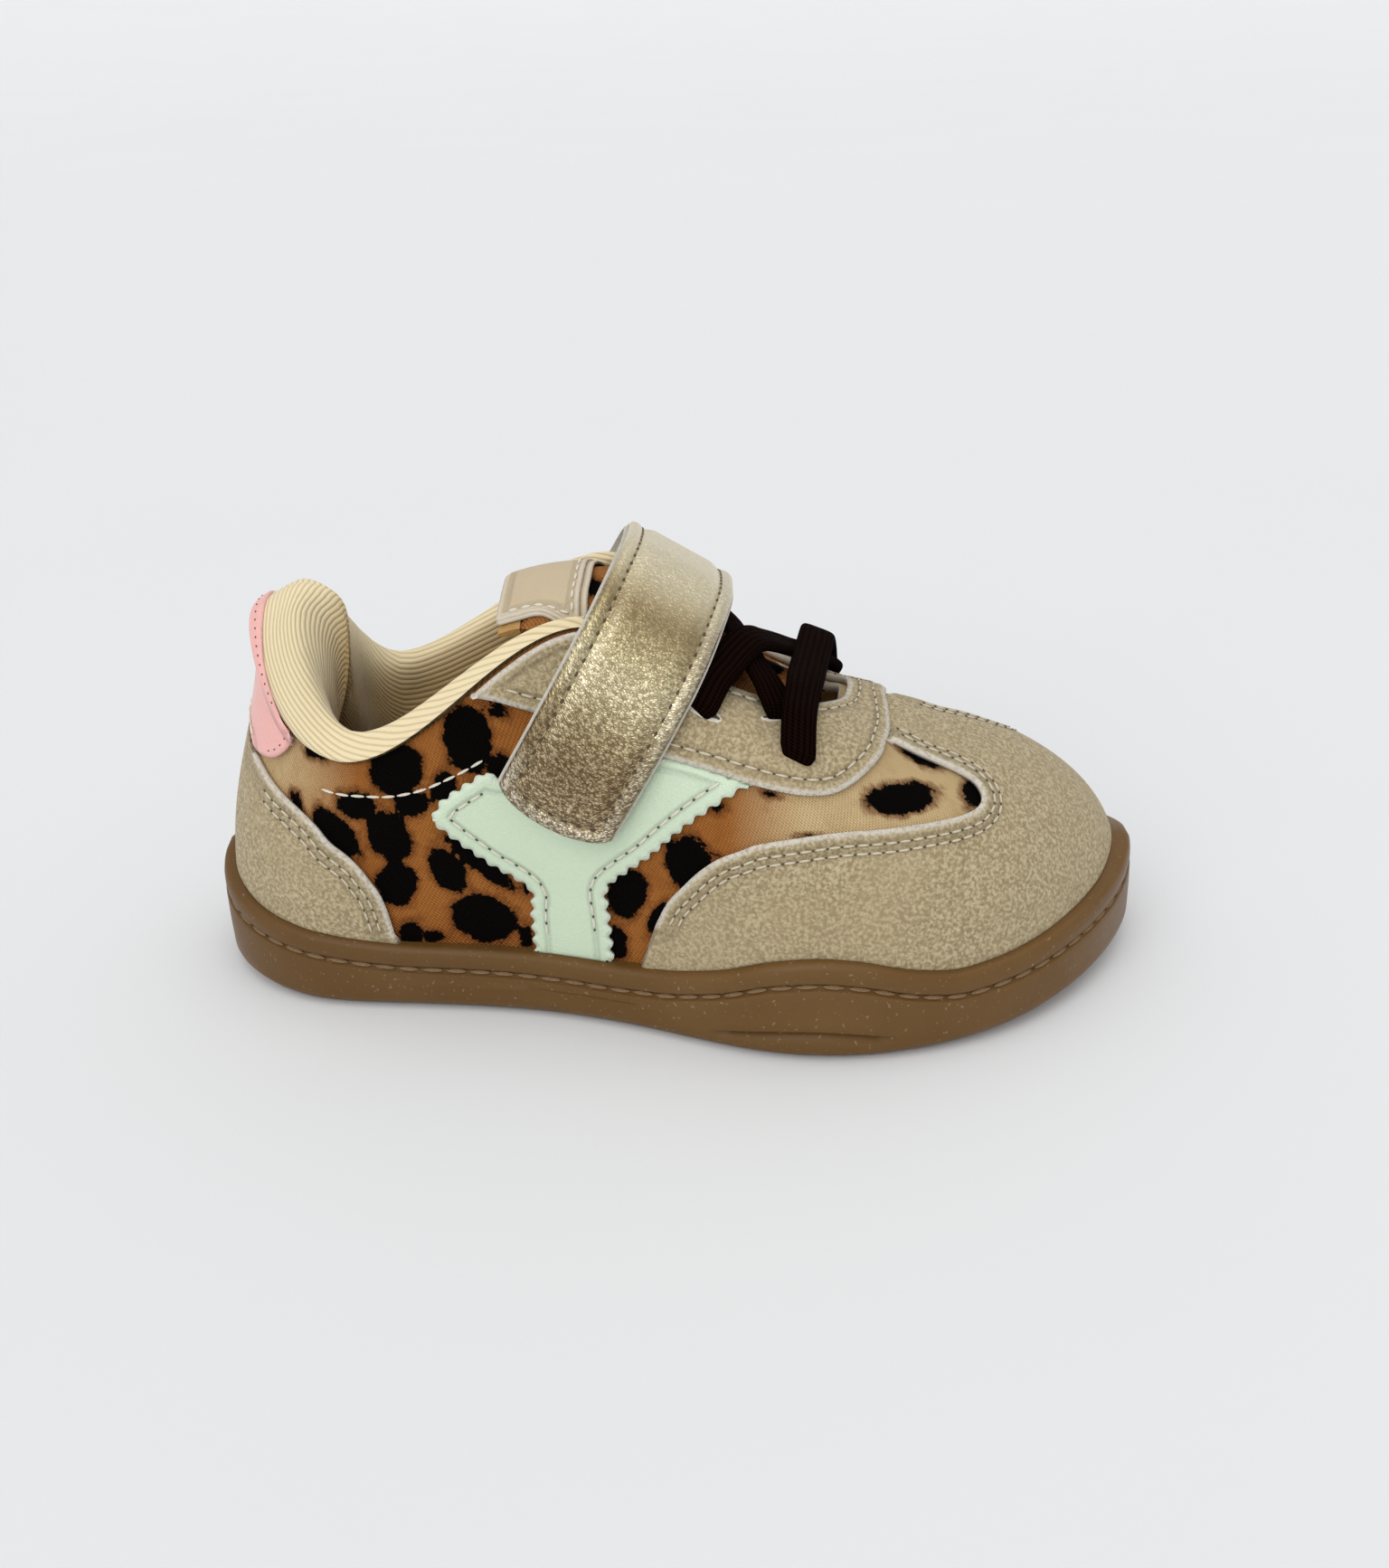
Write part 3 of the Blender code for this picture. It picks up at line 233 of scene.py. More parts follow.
# Ribs of the last, from the heel round the outer side to the toe and back along the inner side.
# along, across: the sole's outline. top_: the upper's edge. rise, drop, lean, reach: the rib's handles.
Section = namedtuple("Section", "along across top_along top_across top_height rise lean reach drop")
SECTIONS = [
    Section(0.000 * L, 0.040 * H, 0.094 * L, 0.020 * C, 1.00 * HEEL_HEIGHT, 0.49, 0.006 * W, 0.045 * W, 0.38),
    Section(0.028 * L, -.230 * H, 0.106 * L, -.190 * C, 0.90 * HEEL_HEIGHT, 0.50, 0.006 * W, 0.055 * W, 0.35),
    Section(0.110 * L, -.416 * H, 0.142 * L, -.370 * C, 1.03 * COLLAR_DIP, 0.48, 0.012 * W, 0.055 * W, 0.34),
    Section(0.200 * L, -.455 * H, 0.205 * L, -.470 * C, 0.975 * COLLAR_DIP, 0.46, 0.016 * W, 0.050 * W, 0.33),
    Section(0.360 * L, -.475 * H, 0.315 * L, -.475 * C, 1.20 * COLLAR_DIP, 0.44, 0.016 * W, 0.070 * W, 0.32),
    Section(0.500 * L, -.405 * W, 0.440 * L, -.500 * T, INSTEP_HEIGHT, 0.44, 0.016 * W, 0.130 * W, 0.24),
    Section(0.630 * L, -.485 * W, 0.555 * L, -.440 * T, 1.14 * VAMP_HEIGHT, 0.44, 0.020 * W, 0.220 * W, 0.10),
    Section(0.760 * L, -.460 * W, 0.638 * L, -.360 * T, 1.03 * VAMP_HEIGHT, 0.44, 0.020 * W, 0.270 * W, 0.13),
    Section(0.870 * L, -.345 * W, 0.670 * L, -.230 * T, 1.00 * VAMP_HEIGHT, 0.50, 0.020 * W, 0.340 * W, 0.20),
    Section(0.955 * L, -.140 * W, 0.682 * L, -.090 * T, 0.98 * VAMP_HEIGHT, 0.53, 0.013 * W, 0.405 * W, 0.26),
    Section(1.000 * L, 0.120 * W, 0.685 * L, 0.080 * T, 0.98 * VAMP_HEIGHT, 0.54, 0.010 * W, 0.442 * W, 0.29),
    Section(.975 * L, 0.310 * W, 0.682 * L, 0.240 * T, 0.955 * VAMP_HEIGHT, 0.53, 0.013 * W, 0.405 * W, 0.26),
    Section(0.900 * L, 0.425 * W, 0.670 * L, 0.360 * T, 0.93 * VAMP_HEIGHT, 0.50, 0.018 * W, 0.310 * W, 0.20),
    Section(0.750 * L, 0.485 * W, 0.632 * L, 0.470 * T, 0.95 * VAMP_HEIGHT, 0.44, 0.016 * W, 0.210 * W, 0.12),
    Section(0.620 * L, 0.470 * W, 0.550 * L, 0.540 * T, 1.09 * VAMP_HEIGHT, 0.44, 0.014 * W, 0.160 * W, 0.12),
    Section(0.450 * L, 0.385 * W, 0.445 * L, 0.570 * T, INSTEP_HEIGHT, 0.44, 0.008 * W, 0.080 * W, 0.24),
    Section(0.300 * L, 0.510 * H, 0.315 * L, 0.490 * C, 1.20 * COLLAR_DIP, 0.44, 0.008 * W, 0.055 * W, 0.32),
    Section(0.180 * L, 0.530 * H, 0.205 * L, 0.490 * C, 1.00 * COLLAR_DIP, 0.46, 0.010 * W, 0.050 * W, 0.33),
    Section(0.090 * L, 0.480 * H, 0.145 * L, 0.390 * C, 1.06 * COLLAR_DIP, 0.48, 0.010 * W, 0.055 * W, 0.34),
    Section(0.022 * L, 0.300 * H, 0.106 * L, 0.220 * C, 0.91 * HEEL_HEIGHT, 0.50, 0.006 * W, 0.055 * W, 0.35),
]
TOE_SECTION = 10

# Upper rim of the sole, as (share of the way from heel to toe, share of RAND_HEIGHT), and the crescent step
RIM = [
    (0.00, 1.58), (0.06, 1.46), (0.13, 1.27), (0.21, 1.15), (0.29, 1.02), (0.37, 1.01), (0.45, 0.97),
    (0.50, 1.03), (0.545, 1.22), (0.585, 1.48), (0.625, 1.57), (0.66, 1.50), (0.70, 1.28), (0.74, 1.13),
    (0.80, 1.13), (0.86, 1.16), (0.93, 1.20), (1.00, 1.36),
]
CRESCENT = [(0.535, 0.30), (0.560, 0.38), (0.590, 0.46), (0.625, 0.50), (0.660, 0.44), (0.690, 0.32)]

# Profiles of the sole's side: drop below the step and share of its depth, rise over the groove's middle in
# groove widths and inset, fall below the rim and inset
CRESCENT_STEP = [(0.0017, 0.0), (0.0010, 0.55), (0.0006, 1.0), (0.0002, 0.9), (-0.0002, -0.1),
                 (-0.0007, -0.35), (-0.0016, -0.1)]
GROOVE_PROFILE = [(-1.6, 0.00010), (-0.75, 0.00012), (-0.5, 0.00022), (-0.28, 0.9 * GROOVE_DEPTH),
                  (0.0, GROOVE_DEPTH + 0.0001), (0.28, 0.9 * GROOVE_DEPTH), (0.5, 0.0004), (0.8, 0.00025)]
RIM_PROFILE = [(0.0020, 0.0003), (0.0010, 0.0005), (0.0004, 0.0008), (0.0001, 0.0013), (0.0, 0.0018)]


def periodic_cubic(knots, rows):
    """Smooth closed curve through the rows of a table, which meets its own start."""
    step = np.diff(knots)
    count = len(step)
    slope = np.diff(np.vstack([rows, rows[:1]]), axis=0) / step[:, None]
    matrix = np.zeros((count, count))
    right = np.zeros_like(rows)
    for i in range(count):
        before = i - 1
        matrix[i, before] += step[i]
        matrix[i, i] += 2 * (step[i] + step[before])
        matrix[i, (i + 1) % count] += step[before]
        right[i] = 3 * (step[before] * slope[i] + step[i] * slope[before])
    tangent = np.linalg.solve(matrix, right)

    def at(share):
        place = np.mod(np.asarray(share, float), 1.0) * knots[-1]
        i = np.clip(np.searchsorted(knots, place, side="right") - 1, 0, count - 1)
        h = step[i][..., None]
        t = (place - knots[i])[..., None] / h
        k = (i + 1) % count
        start = (1 + 2 * t) * (1 - t) ** 2 * rows[i] + t * (1 - t) ** 2 * h * tangent[i]
        end = t * t * (3 - 2 * t) * rows[k] + t * t * (t - 1) * h * tangent[k]
        return start + end

    return at


def table_curve(table, at, blur=0.012, column=1):
    """Smooth value of a table at a share: straight steps eased by a small running mean."""
    xs = np.array([row[0] for row in table])
    ys = np.array([row[column] for row in table])
    at = np.asarray(at, float)
    return (np.interp(at - blur, xs, ys) + 2 * np.interp(at, xs, ys) + np.interp(at + blur, xs, ys)) / 4


section_rows = np.array(SECTIONS)
chords = np.diff(np.vstack([section_rows, section_rows[:1]])[:, :2], axis=0)
section_knots = np.concatenate([[0.0], np.cumsum(np.linalg.norm(chords, axis=1) ** 0.5)])
section_at = periodic_cubic(section_knots, section_rows)
TOE_SHARE = section_knots[TOE_SECTION] / section_knots[-1]


def rib_at(way):
    """Section of the last at a way round: outer side 0 to 1, inner side beyond 1 down to the heel at 2."""
    way = np.asarray(way, float)
    return section_at(np.where(way <= 1, way * TOE_SHARE, TOE_SHARE + (way - 1) * (1 - TOE_SHARE)))


def from_heel(way):
    way = np.mod(np.asarray(way, float), 2.0)
    return np.where(way <= 1, way, 2 - way)


def spring(along):
    share = np.asarray(along) / SOLE_LENGTH
    toe = np.clip((share - 0.70) / 0.30, 0, 1) ** 1.8
    heel = np.clip((0.14 - share) / 0.14, 0, 1) ** 1.8
    return TOE_SPRING * toe + HEEL_LIFT * heel


def sole_outline(way):
    return rib_at(way)[..., :2]


def outward(way):
    nudge = 0.004
    way = np.asarray(way, float)
    along = sole_outline(way + nudge) - sole_outline(way - nudge)
    across = np.stack([along[..., 1], -along[..., 0]], axis=-1)
    return across / np.linalg.norm(across, axis=-1, keepdims=True)


def last_point(way, up):
    """Outer face of the upper: each rib is one cubic curve from the sole's floor to the upper's edge."""
    way, up = np.broadcast_arrays(np.asarray(way, float), np.asarray(up, float))
    t = up[..., None]
    row = rib_at(way)
    out = outward(way)
    foot = row[..., :2] - out * RAND_WIDTH
    low = (FLOOR_THICKNESS + CLEARANCE + spring(foot[..., 0]))[..., None]
    top = row[..., 2:4]
    high = row[..., 4:5]
    away = foot - top + out * 0.006
    away = away / np.linalg.norm(away, axis=-1, keepdims=True)
    start = np.concatenate([foot, low], axis=-1)
    rise = np.concatenate([foot + out * row[..., 6:7], low + (high - low) * row[..., 5:6]], axis=-1)
    drop = np.concatenate([top + away * row[..., 7:8], high - (high - low) * row[..., 8:9]], axis=-1)
    end = np.concatenate([top, high], axis=-1)
    return (1 - t) ** 3 * start + 3 * t * (1 - t) ** 2 * rise + 3 * t * t * (1 - t) * drop + t ** 3 * end


def last_slopes(way, up):
    """Steps of the last for one unit of way round and of way up, and its outward normal."""
    nudge = 0.002
    up = np.clip(up, nudge, 1 - nudge)
    way = np.asarray(way, float)
    round_step = (last_point(way + nudge, up) - last_point(way - nudge, up)) / (2 * nudge)
    up_step = (last_point(way, up + nudge) - last_point(way, up - nudge)) / (2 * nudge)
    normal = np.cross(round_step, up_step)
    return round_step, up_step, normal / np.linalg.norm(normal, axis=-1, keepdims=True)


def offset_point(way, up, depth):
    """Point of the last moved outwards by a depth, or inwards by a negative one."""
    way, up, depth = np.broadcast_arrays(*(np.asarray(part, float) for part in (way, up, depth)))
    return last_point(way, up) + last_slopes(way, up)[2] * depth[..., None]


def rim_height(way):
    return RAND_HEIGHT * table_curve(RIM, from_heel(way)) + spring(sole_outline(way)[..., 0])


def up_at_height(way, height):
    """Way up a rib at which it reaches a height near its foot."""
    steps = np.linspace(0, 0.6, 61)
    heights = last_point(np.full(61, float(way)), steps)[:, 2]
    return float(np.interp(height, heights, steps))


def matched_ways(stations):
    """Ways round at which the outer and the inner side have the same places along the sole."""
    turn = np.linspace(0, math.pi, stations + 1)
    share = (1 - np.cos(turn)) / 2 * 0.72 + turn / math.pi * 0.28
    fine = np.linspace(0, 1, 1601)
    outer = np.maximum.accumulate(sole_outline(fine)[:, 0])
    inner = np.maximum.accumulate(sole_outline(2 - fine)[:, 0])
    wanted = outer[0] + (outer[-1] - outer[0]) * share
    outer_ways = np.interp(wanted, outer, fine)
    inner_ways = 2 - np.interp(wanted, inner, fine)
    outer_ways[0], outer_ways[-1] = 0.0, 1.0
    return np.concatenate([outer_ways, inner_ways[-2:0:-1]])


own_line = sole_outline(np.linspace(0, 2, 2001))
cad_low, cad_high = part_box("outsole")
PLACE = Vector((0.5 * (cad_low[0] + cad_high[0] - own_line[:, 0].min() - own_line[:, 0].max()),
                0.5 * (cad_low[1] + cad_high[1] - own_line[:, 1].min() - own_line[:, 1].max()), 0.0))


def grid_surface(bm, points):
    """Grid laid through a table of points, first index round and second index up."""
    rows, columns = points.shape[:2]
    made = bmesh.ops.create_grid(bm, x_segments=rows - 1, y_segments=columns - 1, size=1.0)["verts"]
    for vertex in made:
        i = round((vertex.co.x + 1) / 2 * (rows - 1))
        j = round((vertex.co.y + 1) / 2 * (columns - 1))
        vertex.co = points[i, j]
    return made


def ringed_form(rings, ways_across=14, lift=None):
    """Closed form from rings of matched ways, its caps laid straight across from side to side."""
    bm = bmesh.new()
    closed = np.array([np.vstack([ring, ring[:1]]) for ring in rings]).transpose(1, 0, 2)
    grid_surface(bm, closed)
    for ring, turn in ((rings[0], -1), (rings[-1], 1)):
        half = len(ring) // 2
        outer = ring[:half + 1]
        inner = np.vstack([ring[:1], ring[:half - 1:-1]])
        shares = np.linspace(0, 1, ways_across + 1)[None, :, None]
        cap = outer[:, None] * (1 - shares) + inner[:, None] * shares
        if lift is not None:
            cap = lift(cap, turn)
        grid_surface(bm, cap if turn > 0 else cap[::-1])
    bmesh.ops.remove_doubles(bm, verts=bm.verts, dist=2e-6)
    bmesh.ops.recalc_face_normals(bm, faces=bm.faces)
    return bm


def finish_piece(name, bm, materials, nodes=()):
    """Object of a finished mesh in the shoe's frame, smooth, riding on the shoe in place of its solids."""
    bmesh.ops.translate(bm, vec=PLACE, verts=bm.verts)
    mesh = bpy.data.meshes.new(name)
    bm.to_mesh(mesh)
    bm.free()
    mesh.shade_smooth()
    mesh.set_sharp_from_angle(angle=math.radians(50))
    made = bpy.data.objects.new(name, mesh)
    bpy.context.scene.collection.objects.link(made)
    for material in materials:
        mesh.materials.append(material)
    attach(made, "root")
    if nodes:
        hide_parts(*nodes)
    return made


def keep_values(made, name, values):
    """Value for each vertex that the piece's material reads."""
    values = np.asarray(values, np.float32)
    kind = "FLOAT_VECTOR" if values.ndim > 1 else "FLOAT"
    kept = made.data.attributes.new(name, kind, "POINT")
    kept.data.foreach_set("vector" if values.ndim > 1 else "value", values.reshape(-1))


def sew(bm, points, normals, pitch, length, width, sunk=0.35, start=0.5):
    """Row of stitches along a line: thin rounded grains laid end to end, each a little sunk in its piece."""
    steps = np.linalg.norm(np.diff(points, axis=0), axis=1)
    run = np.concatenate([[0.0], np.cumsum(steps)])
    for place in np.arange(start * pitch, run[-1] - 0.4 * length, pitch):
        ahead, behind = min(place + length / 2, run[-1]), max(place - length / 2, 0.0)
        centre, tip, tail, face = (np.array([np.interp(at, run, source[:, k]) for k in range(3)])
                                   for at, source in ((place, points), (ahead, points), (behind, points),
                                                      (place, normals)))
        face = face / np.linalg.norm(face)
        along = tip - tail
        along = along / max(np.linalg.norm(along), 1e-9)
        side = np.cross(face, along)
        side = side / np.linalg.norm(side)
        face = np.cross(along, side)
        shape = Matrix((along * length / 2, side * width / 2, face * width / 2)).transposed().to_4x4()
        spot = Matrix.Translation(Vector(centre + face * width * (0.5 - sunk)))
        bmesh.ops.create_uvsphere(bm, u_segments=6, v_segments=5, radius=1.0, matrix=spot @ shape @
                                  Matrix.Rotation(math.pi / 2, 4, "Y"))


def group_of(name, inputs, outputs):
    """Empty shader node group with its named inputs and outputs."""
    made = bpy.data.node_groups.new(name, "ShaderNodeTree")
    for label, kind, value in inputs:
        socket = made.interface.new_socket(name=label, in_out="INPUT", socket_type=kind)
        if value is not None:
            socket.default_value = value
    for label, kind in outputs:
        made.interface.new_socket(name=label, in_out="OUTPUT", socket_type=kind)
    return made, made.nodes.new("NodeGroupInput").outputs, made.nodes.new("NodeGroupOutput")


def use_group(tree, group, inputs):
    return node(tree, "ShaderNodeGroup", inputs, node_tree=group).outputs


# Dust and handling marks, as a mask: soft patches with small specks in them
handling, given, result = group_of("handling_marks", [("Vector", "NodeSocketVector", None),
                                                      ("Patch", "NodeSocketFloat", 60.0),
                                                      ("Speck", "NodeSocketFloat", 900.0)],
                                   [("Mask", "NodeSocketFloat"), ("Speck", "NodeSocketFloat")])
patches = noise(handling, given["Vector"], given["Patch"], 3.0)
specks = noise(handling, given["Vector"], given["Speck"], 1.0)
handling.links.new(ease(handling, patches, 0.40, 0.70), result.inputs["Mask"])
handling.links.new(ease(handling, specks, 0.66, 0.78), result.inputs["Speck"])

gum, tree, shader = new_material("gum_rubber_look", (0.13, 0.064, 0.02), 0.44, Subsurface_Weight=0.12,
                                 Subsurface_Scale=0.004, Subsurface_Radius=(1.0, 0.5, 0.2),
                                 Coat_Weight=0.03, Coat_Roughness=0.35, Specular_IOR_Level=0.22)
spot = place_of(tree)
marks = use_group(tree, handling, {"Vector": spot, "Patch": 45.0, "Speck": 1400.0})
gum_tone = noise(tree, spot, 18.0, 3.0)
gum_colour = blend_colours(tree, gum_tone, (0.100, 0.048, 0.011, 1.0), (0.145, 0.073, 0.018, 1.0))
gum_colour = tinted(tree, gum_colour, marks["Mask"], 0.16, (0.22, 0.13, 0.05, 1.0))
gum_colour = tinted(tree, gum_colour, marks["Speck"], 0.30, (0.42, 0.33, 0.24, 1.0))
colour_by(tree, shader, gum_colour)
tree.links.new(ease(tree, noise(tree, spot, 70.0, 4.0), 0.3, 0.75, 0.36, 0.52), shader.inputs["Roughness"])
raise_surface(tree, shader, noise(tree, spot, 2400.0, 2.0), 0.00006, 0.5)

ring_ways = matched_ways(SOLE_STATIONS)
ring_zero = np.zeros(len(ring_ways))


def inset_ring(inset, height):
    """Ring of the sole's outline moved inwards, at a height over the sprung underside."""
    flat = sole_outline(ring_ways) - outward(ring_ways) * np.asarray(inset)[..., None]
    return np.column_stack([flat, np.asarray(height) + spring(flat[:, 0])])


def tread_lift(cap, turn):
    """Flex grooves across the underside at heel and forefoot."""
    if turn > 0:
        return cap
    along, across = cap[..., 0], cap[..., 1]
    places = np.concatenate([np.arange(0.13 * L, 0.32 * L, FLEX_GROOVE_PITCH),
                             np.arange(0.56 * L, 0.86 * L, FLEX_GROOVE_PITCH)])
    near = np.min(np.abs(along[..., None] - places), axis=-1)
    reach = np.interp(along, [0, 0.35 * L, 0.6 * L, 0.88 * L], [0.26 * H, 0.30 * H, 0.33 * W, 0.21 * W])
    cut = np.clip((FLEX_GROOVE_WIDTH / 2 + 0.0002 - near) / 0.0004, 0, 1) * (np.abs(across - 0.001) < reach)
    lifted = cap.copy()
    lifted[..., 2] += FLEX_GROOVE_DEPTH * cut
    return lifted


rim_over = rim_height(ring_ways) - spring(sole_outline(ring_ways)[:, 0])
groove_at = rim_over - GROOVE_DROP
share_round = from_heel(ring_ways)
crescent = np.clip(np.minimum(share_round - CRESCENT[0][0], CRESCENT[-1][0] - share_round) / 0.02, 0, 1)
crescent = crescent * crescent * (3 - 2 * crescent)
step_at = np.where(crescent > 0, RAND_HEIGHT * table_curve(CRESCENT, share_round), 0.42 * groove_at + 0.0008)
radius = SOLE_EDGE_RADIUS
rings = [inset_ring(ring_zero + 2.2 * radius, ring_zero)]
for turn in np.radians([12, 30, 48, 66, 84]):
    inset, height = 1.3 * radius * (1 - math.sin(turn)), radius * (1 - math.cos(turn))
    rings.append(inset_ring(ring_zero + inset, ring_zero + height))
for drop, inset in CRESCENT_STEP:
    rings.append(inset_ring(ring_zero + CRESCENT_DEPTH * inset * crescent, step_at - drop))
for rise, inset in GROOVE_PROFILE:
    rings.append(inset_ring(ring_zero + inset, groove_at + rise * GROOVE_WIDTH))
for fall, inset in RIM_PROFILE:
    rings.append(inset_ring(ring_zero + inset, rim_over - fall))
lip_up = np.array([up_at_height(way, top) for way, top in zip(ring_ways, rim_height(ring_ways))])
for share_up in (1.0, 0.66, 0.33, 0.0):
    rings.append(offset_point(ring_ways, lip_up * share_up, 0.6 * CLEARANCE))
rings[-1][:, 2] = FLOOR_THICKNESS + spring(rings[-1][:, 0])
finish_piece("gum_sole", ringed_form(rings, lift=tread_lift), [gum], ["outsole"])

sole_thread = flecked("sole_thread", (0.05, 0.025, 0.012), (0.36, 0.22, 0.10), 5000.0, 0.7, bump=0.0001)
bm = bmesh.new()
loop_ways = np.linspace(0, 2, 1200)
loop_flat = sole_outline(loop_ways) - outward(loop_ways) * 0.0007
loop_rim = rim_height(loop_ways) - spring(sole_outline(loop_ways)[:, 0]) - GROOVE_DROP
loop_line = np.column_stack([loop_flat, loop_rim + spring(loop_flat[:, 0])])
loop_out = np.column_stack([outward(loop_ways), np.zeros(1200)])
sew(bm, loop_line, loop_out, 0.0042, 0.0036, 0.0008, sunk=0.5)
finish_piece("sole_stitching", bm, [sole_thread])


# Insole. A thin loose footbed of tan foam with a fine knit cover, cut to the last and lying on the sole's
# floor inside the upper.
UPPER_WALL = 0.0016
INSOLE_THICKNESS = 0.0025
INSOLE_EDGE = [(0.0006, 0.0), (0.0, 0.0004), (0.0, INSOLE_THICKNESS - 0.0006),
               (0.0003, INSOLE_THICKNESS - 0.0002), (0.0010, INSOLE_THICKNESS)]


def knit_look(name, low, high, scale, bump, sheen):
    """Fine knit: small raised loops, with painted shade darkening the colour where they meet."""
    made, tree, shader = new_material(name, low, 0.9, Sheen_Weight=sheen)
    loops = node(tree, "ShaderNodeTexVoronoi", {"Vector": place_of(tree), "Scale": scale}).outputs["Distance"]
    colour_by(tree, shader, blend_colours(tree, loops, (*low, 1.0), (*high, 1.0)))
    raise_surface(tree, shader, loops, bump)
    return made


# The footbed's knit carries painted shade between its loops.
footbed = knit_look("footbed_look", (0.60, 0.40, 0.22), (0.40, 0.24, 0.12), 900.0, 0.0002, 0.2)
insole_rings = []
for extra, rise in INSOLE_EDGE:
    ring = offset_point(ring_ways, 0.0, -(UPPER_WALL + 2 * CLEARANCE + extra))
    ring[:, 2] = FLOOR_THICKNESS + CLEARANCE + spring(ring[:, 0]) + rise
    insole_rings.append(ring)
finish_piece("footbed", ringed_form(insole_rings), [footbed], ["insole"])


# Upper. One wall of leopard-printed woven cloth with a plain cream lining inside, pulled over the last and
# glued into the sole. The print is near black spots with brown halos on tan, warmer towards the middle.
UPPER_COLUMNS = 400
UPPER_ROWS = 64
WEAVE_PITCH = 0.0007

# Print on the outer side, in millimetres: along from the heel, up along the rib, two half sizes, and turn
SPOTS = [
    (26.4, 41.3, 1.7, 1.0, -16), (41.0, 40.1, 5.0, 4.3, 48), (42.9, 34.3, 3.0, 2.4, 20),
    (53.3, 46.0, 6.1, 4.0, -89), (48.7, 37.6, 2.6, 2.2, 65), (58.2, 41.8, 2.3, 2.1, 28),
    (21.8, 31.9, 2.1, 1.2, -75), (29.0, 27.6, 5.4, 3.0, -54), (33.4, 33.3, 3.5, 2.6, -4),
    (38.4, 28.1, 5.0, 3.8, -75), (38.7, 18.8, 4.7, 3.5, 74), (47.9, 21.9, 4.9, 2.8, -69),
    (53.1, 12.3, 5.8, 5.0, -17), (53.8, 23.5, 7.9, 1.8, -43), (39.8, 8.8, 2.8, 2.0, 70),
    (43.7, 8.1, 2.3, 1.2, 6), (61.1, 18.6, 1.0, 0.6, 80), (60.3, 9.3, 2.3, 1.2, 80),
    (58.7, 51.6, 1.8, 1.3, -42), (78.6, 20.2, 5.0, 3.4, 74), (76.0, 10.3, 3.5, 2.1, 89),
    (89.2, 27.9, 4.7, 3.7, 86), (93.1, 29.5, 1.3, 0.7, -12), (83.7, 16.3, 3.7, 1.3, 63),
    (94.2, 37.9, 1.2, 0.9, 42), (102.2, 40.7, 1.1, 0.5, -10), (123.0, 38.6, 5.6, 2.9, -9),
    (126.3, 46.1, 4.5, 1.3, -45), (135.1, 35.9, 2.8, 1.8, -66), (108.4, 33.9, 1.1, 0.3, 3),
    (86.7, 30.5, 1.3, 1.0, 35),
]

# Soft creases, in millimetres: way round, way up, half length, half width, depth, turn
CREASES = [
    (0.250, 0.62, 9.0, 2.6, 0.45, 62), (0.305, 0.55, 8.0, 2.2, 0.35, 74),
    (0.345, 0.80, 7.0, 2.0, 0.35, 20), (0.560, 0.60, 7.0, 2.2, 0.30, 35),
    (0.640, 0.52, 9.0, 2.4, 0.30, 12), (0.730, 0.72, 8.0, 2.4, 0.35, -15),
    (0.900, 0.80, 7.0, 2.6, 0.30, 4), (1.100, 0.80, 7.0, 2.6, 0.30, -4),
    (1.330, 0.60, 10.0, 2.6, 0.40, -25), (1.480, 0.45, 9.0, 2.6, 0.40, 30),
    (1.620, 0.60, 9.0, 2.8, 0.45, -60), (1.730, 0.62, 9.0, 2.6, 0.45, -70),
]


def rib_length(way, up):
    """Length along a rib from its foot up to a share of its way up, in metres."""
    shares = np.linspace(0, 1, 25)
    at = np.asarray(up)[..., None] * shares
    line = last_point(np.asarray(way)[..., None], at)
    return np.linalg.norm(np.diff(line, axis=-2), axis=-1).sum(axis=-1)


def crease_depth(way, up):
    """How far the soft creases press the surface in at a point."""
    depth = np.zeros(np.broadcast(way, up).shape)
    for at_way, at_up, half_length, half_width, deep, turn in CREASES:
        along, rise, _ = last_slopes(at_way, at_up)
        x = (np.asarray(way) - at_way) * np.linalg.norm(along) * 1000
        y = (np.asarray(up) - at_up) * np.linalg.norm(rise) * 1000
        c, s = math.cos(math.radians(turn)), math.sin(math.radians(turn))
        a, b = (x * c + y * s) / half_length, (y * c - x * s) / half_width
        depth -= deep * 0.001 * np.exp(-a * a) * (np.exp(-b * b) - 0.45 * np.exp(-(b - 1.8) ** 2))
    return depth


def draped(way, up, depth):
    """Point of a piece that lies on the last at a depth, with the shoe's soft creases pressed in."""
    return offset_point(way, up, depth + crease_depth(way, up))


def spot_distance(x, y, spots):
    """Distance in millimetres outside the nearest spot, negative inside it."""
    nearest = np.full(np.shape(x), 9.0)
    for at_x, at_y, first, second, turn in spots:
        c, s = math.cos(math.radians(turn)), math.sin(math.radians(turn))
        a, b = ((x - at_x) * c + (y - at_y) * s) / first, ((y - at_y) * c - (x - at_x) * s) / second
        nearest = np.minimum(nearest, (np.hypot(a, b) - 1) * math.sqrt(first * second))
    return nearest


# Plain weave seen as fine slanting cords: its height, and a share for the painted shade that darkens the gaps
# between them
weave, given, result = group_of("woven_cords", [("Lay", "NodeSocketVector", None),
                                                ("Pitch", "NodeSocketFloat", 0.0007)],
                                [("Height", "NodeSocketFloat"), ("Shade", "NodeSocketFloat")])
lay = node(weave, "ShaderNodeSeparateXYZ", {0: given["Lay"]}).outputs
turns = figure(weave, "DIVIDE", 2 * math.pi, given["Pitch"])
warp = figure(weave, "SINE", figure(weave, "MULTIPLY", figure(weave, "ADD", lay[0], lay[1]), turns))
slant = figure(weave, "SUBTRACT", lay[0], figure(weave, "MULTIPLY", lay[1], 0.6))
weft = figure(weave, "SINE", figure(weave, "MULTIPLY", slant, turns))
cords = figure(weave, "ADD", figure(weave, "MULTIPLY", warp, 0.65), figure(weave, "MULTIPLY", weft, 0.35))
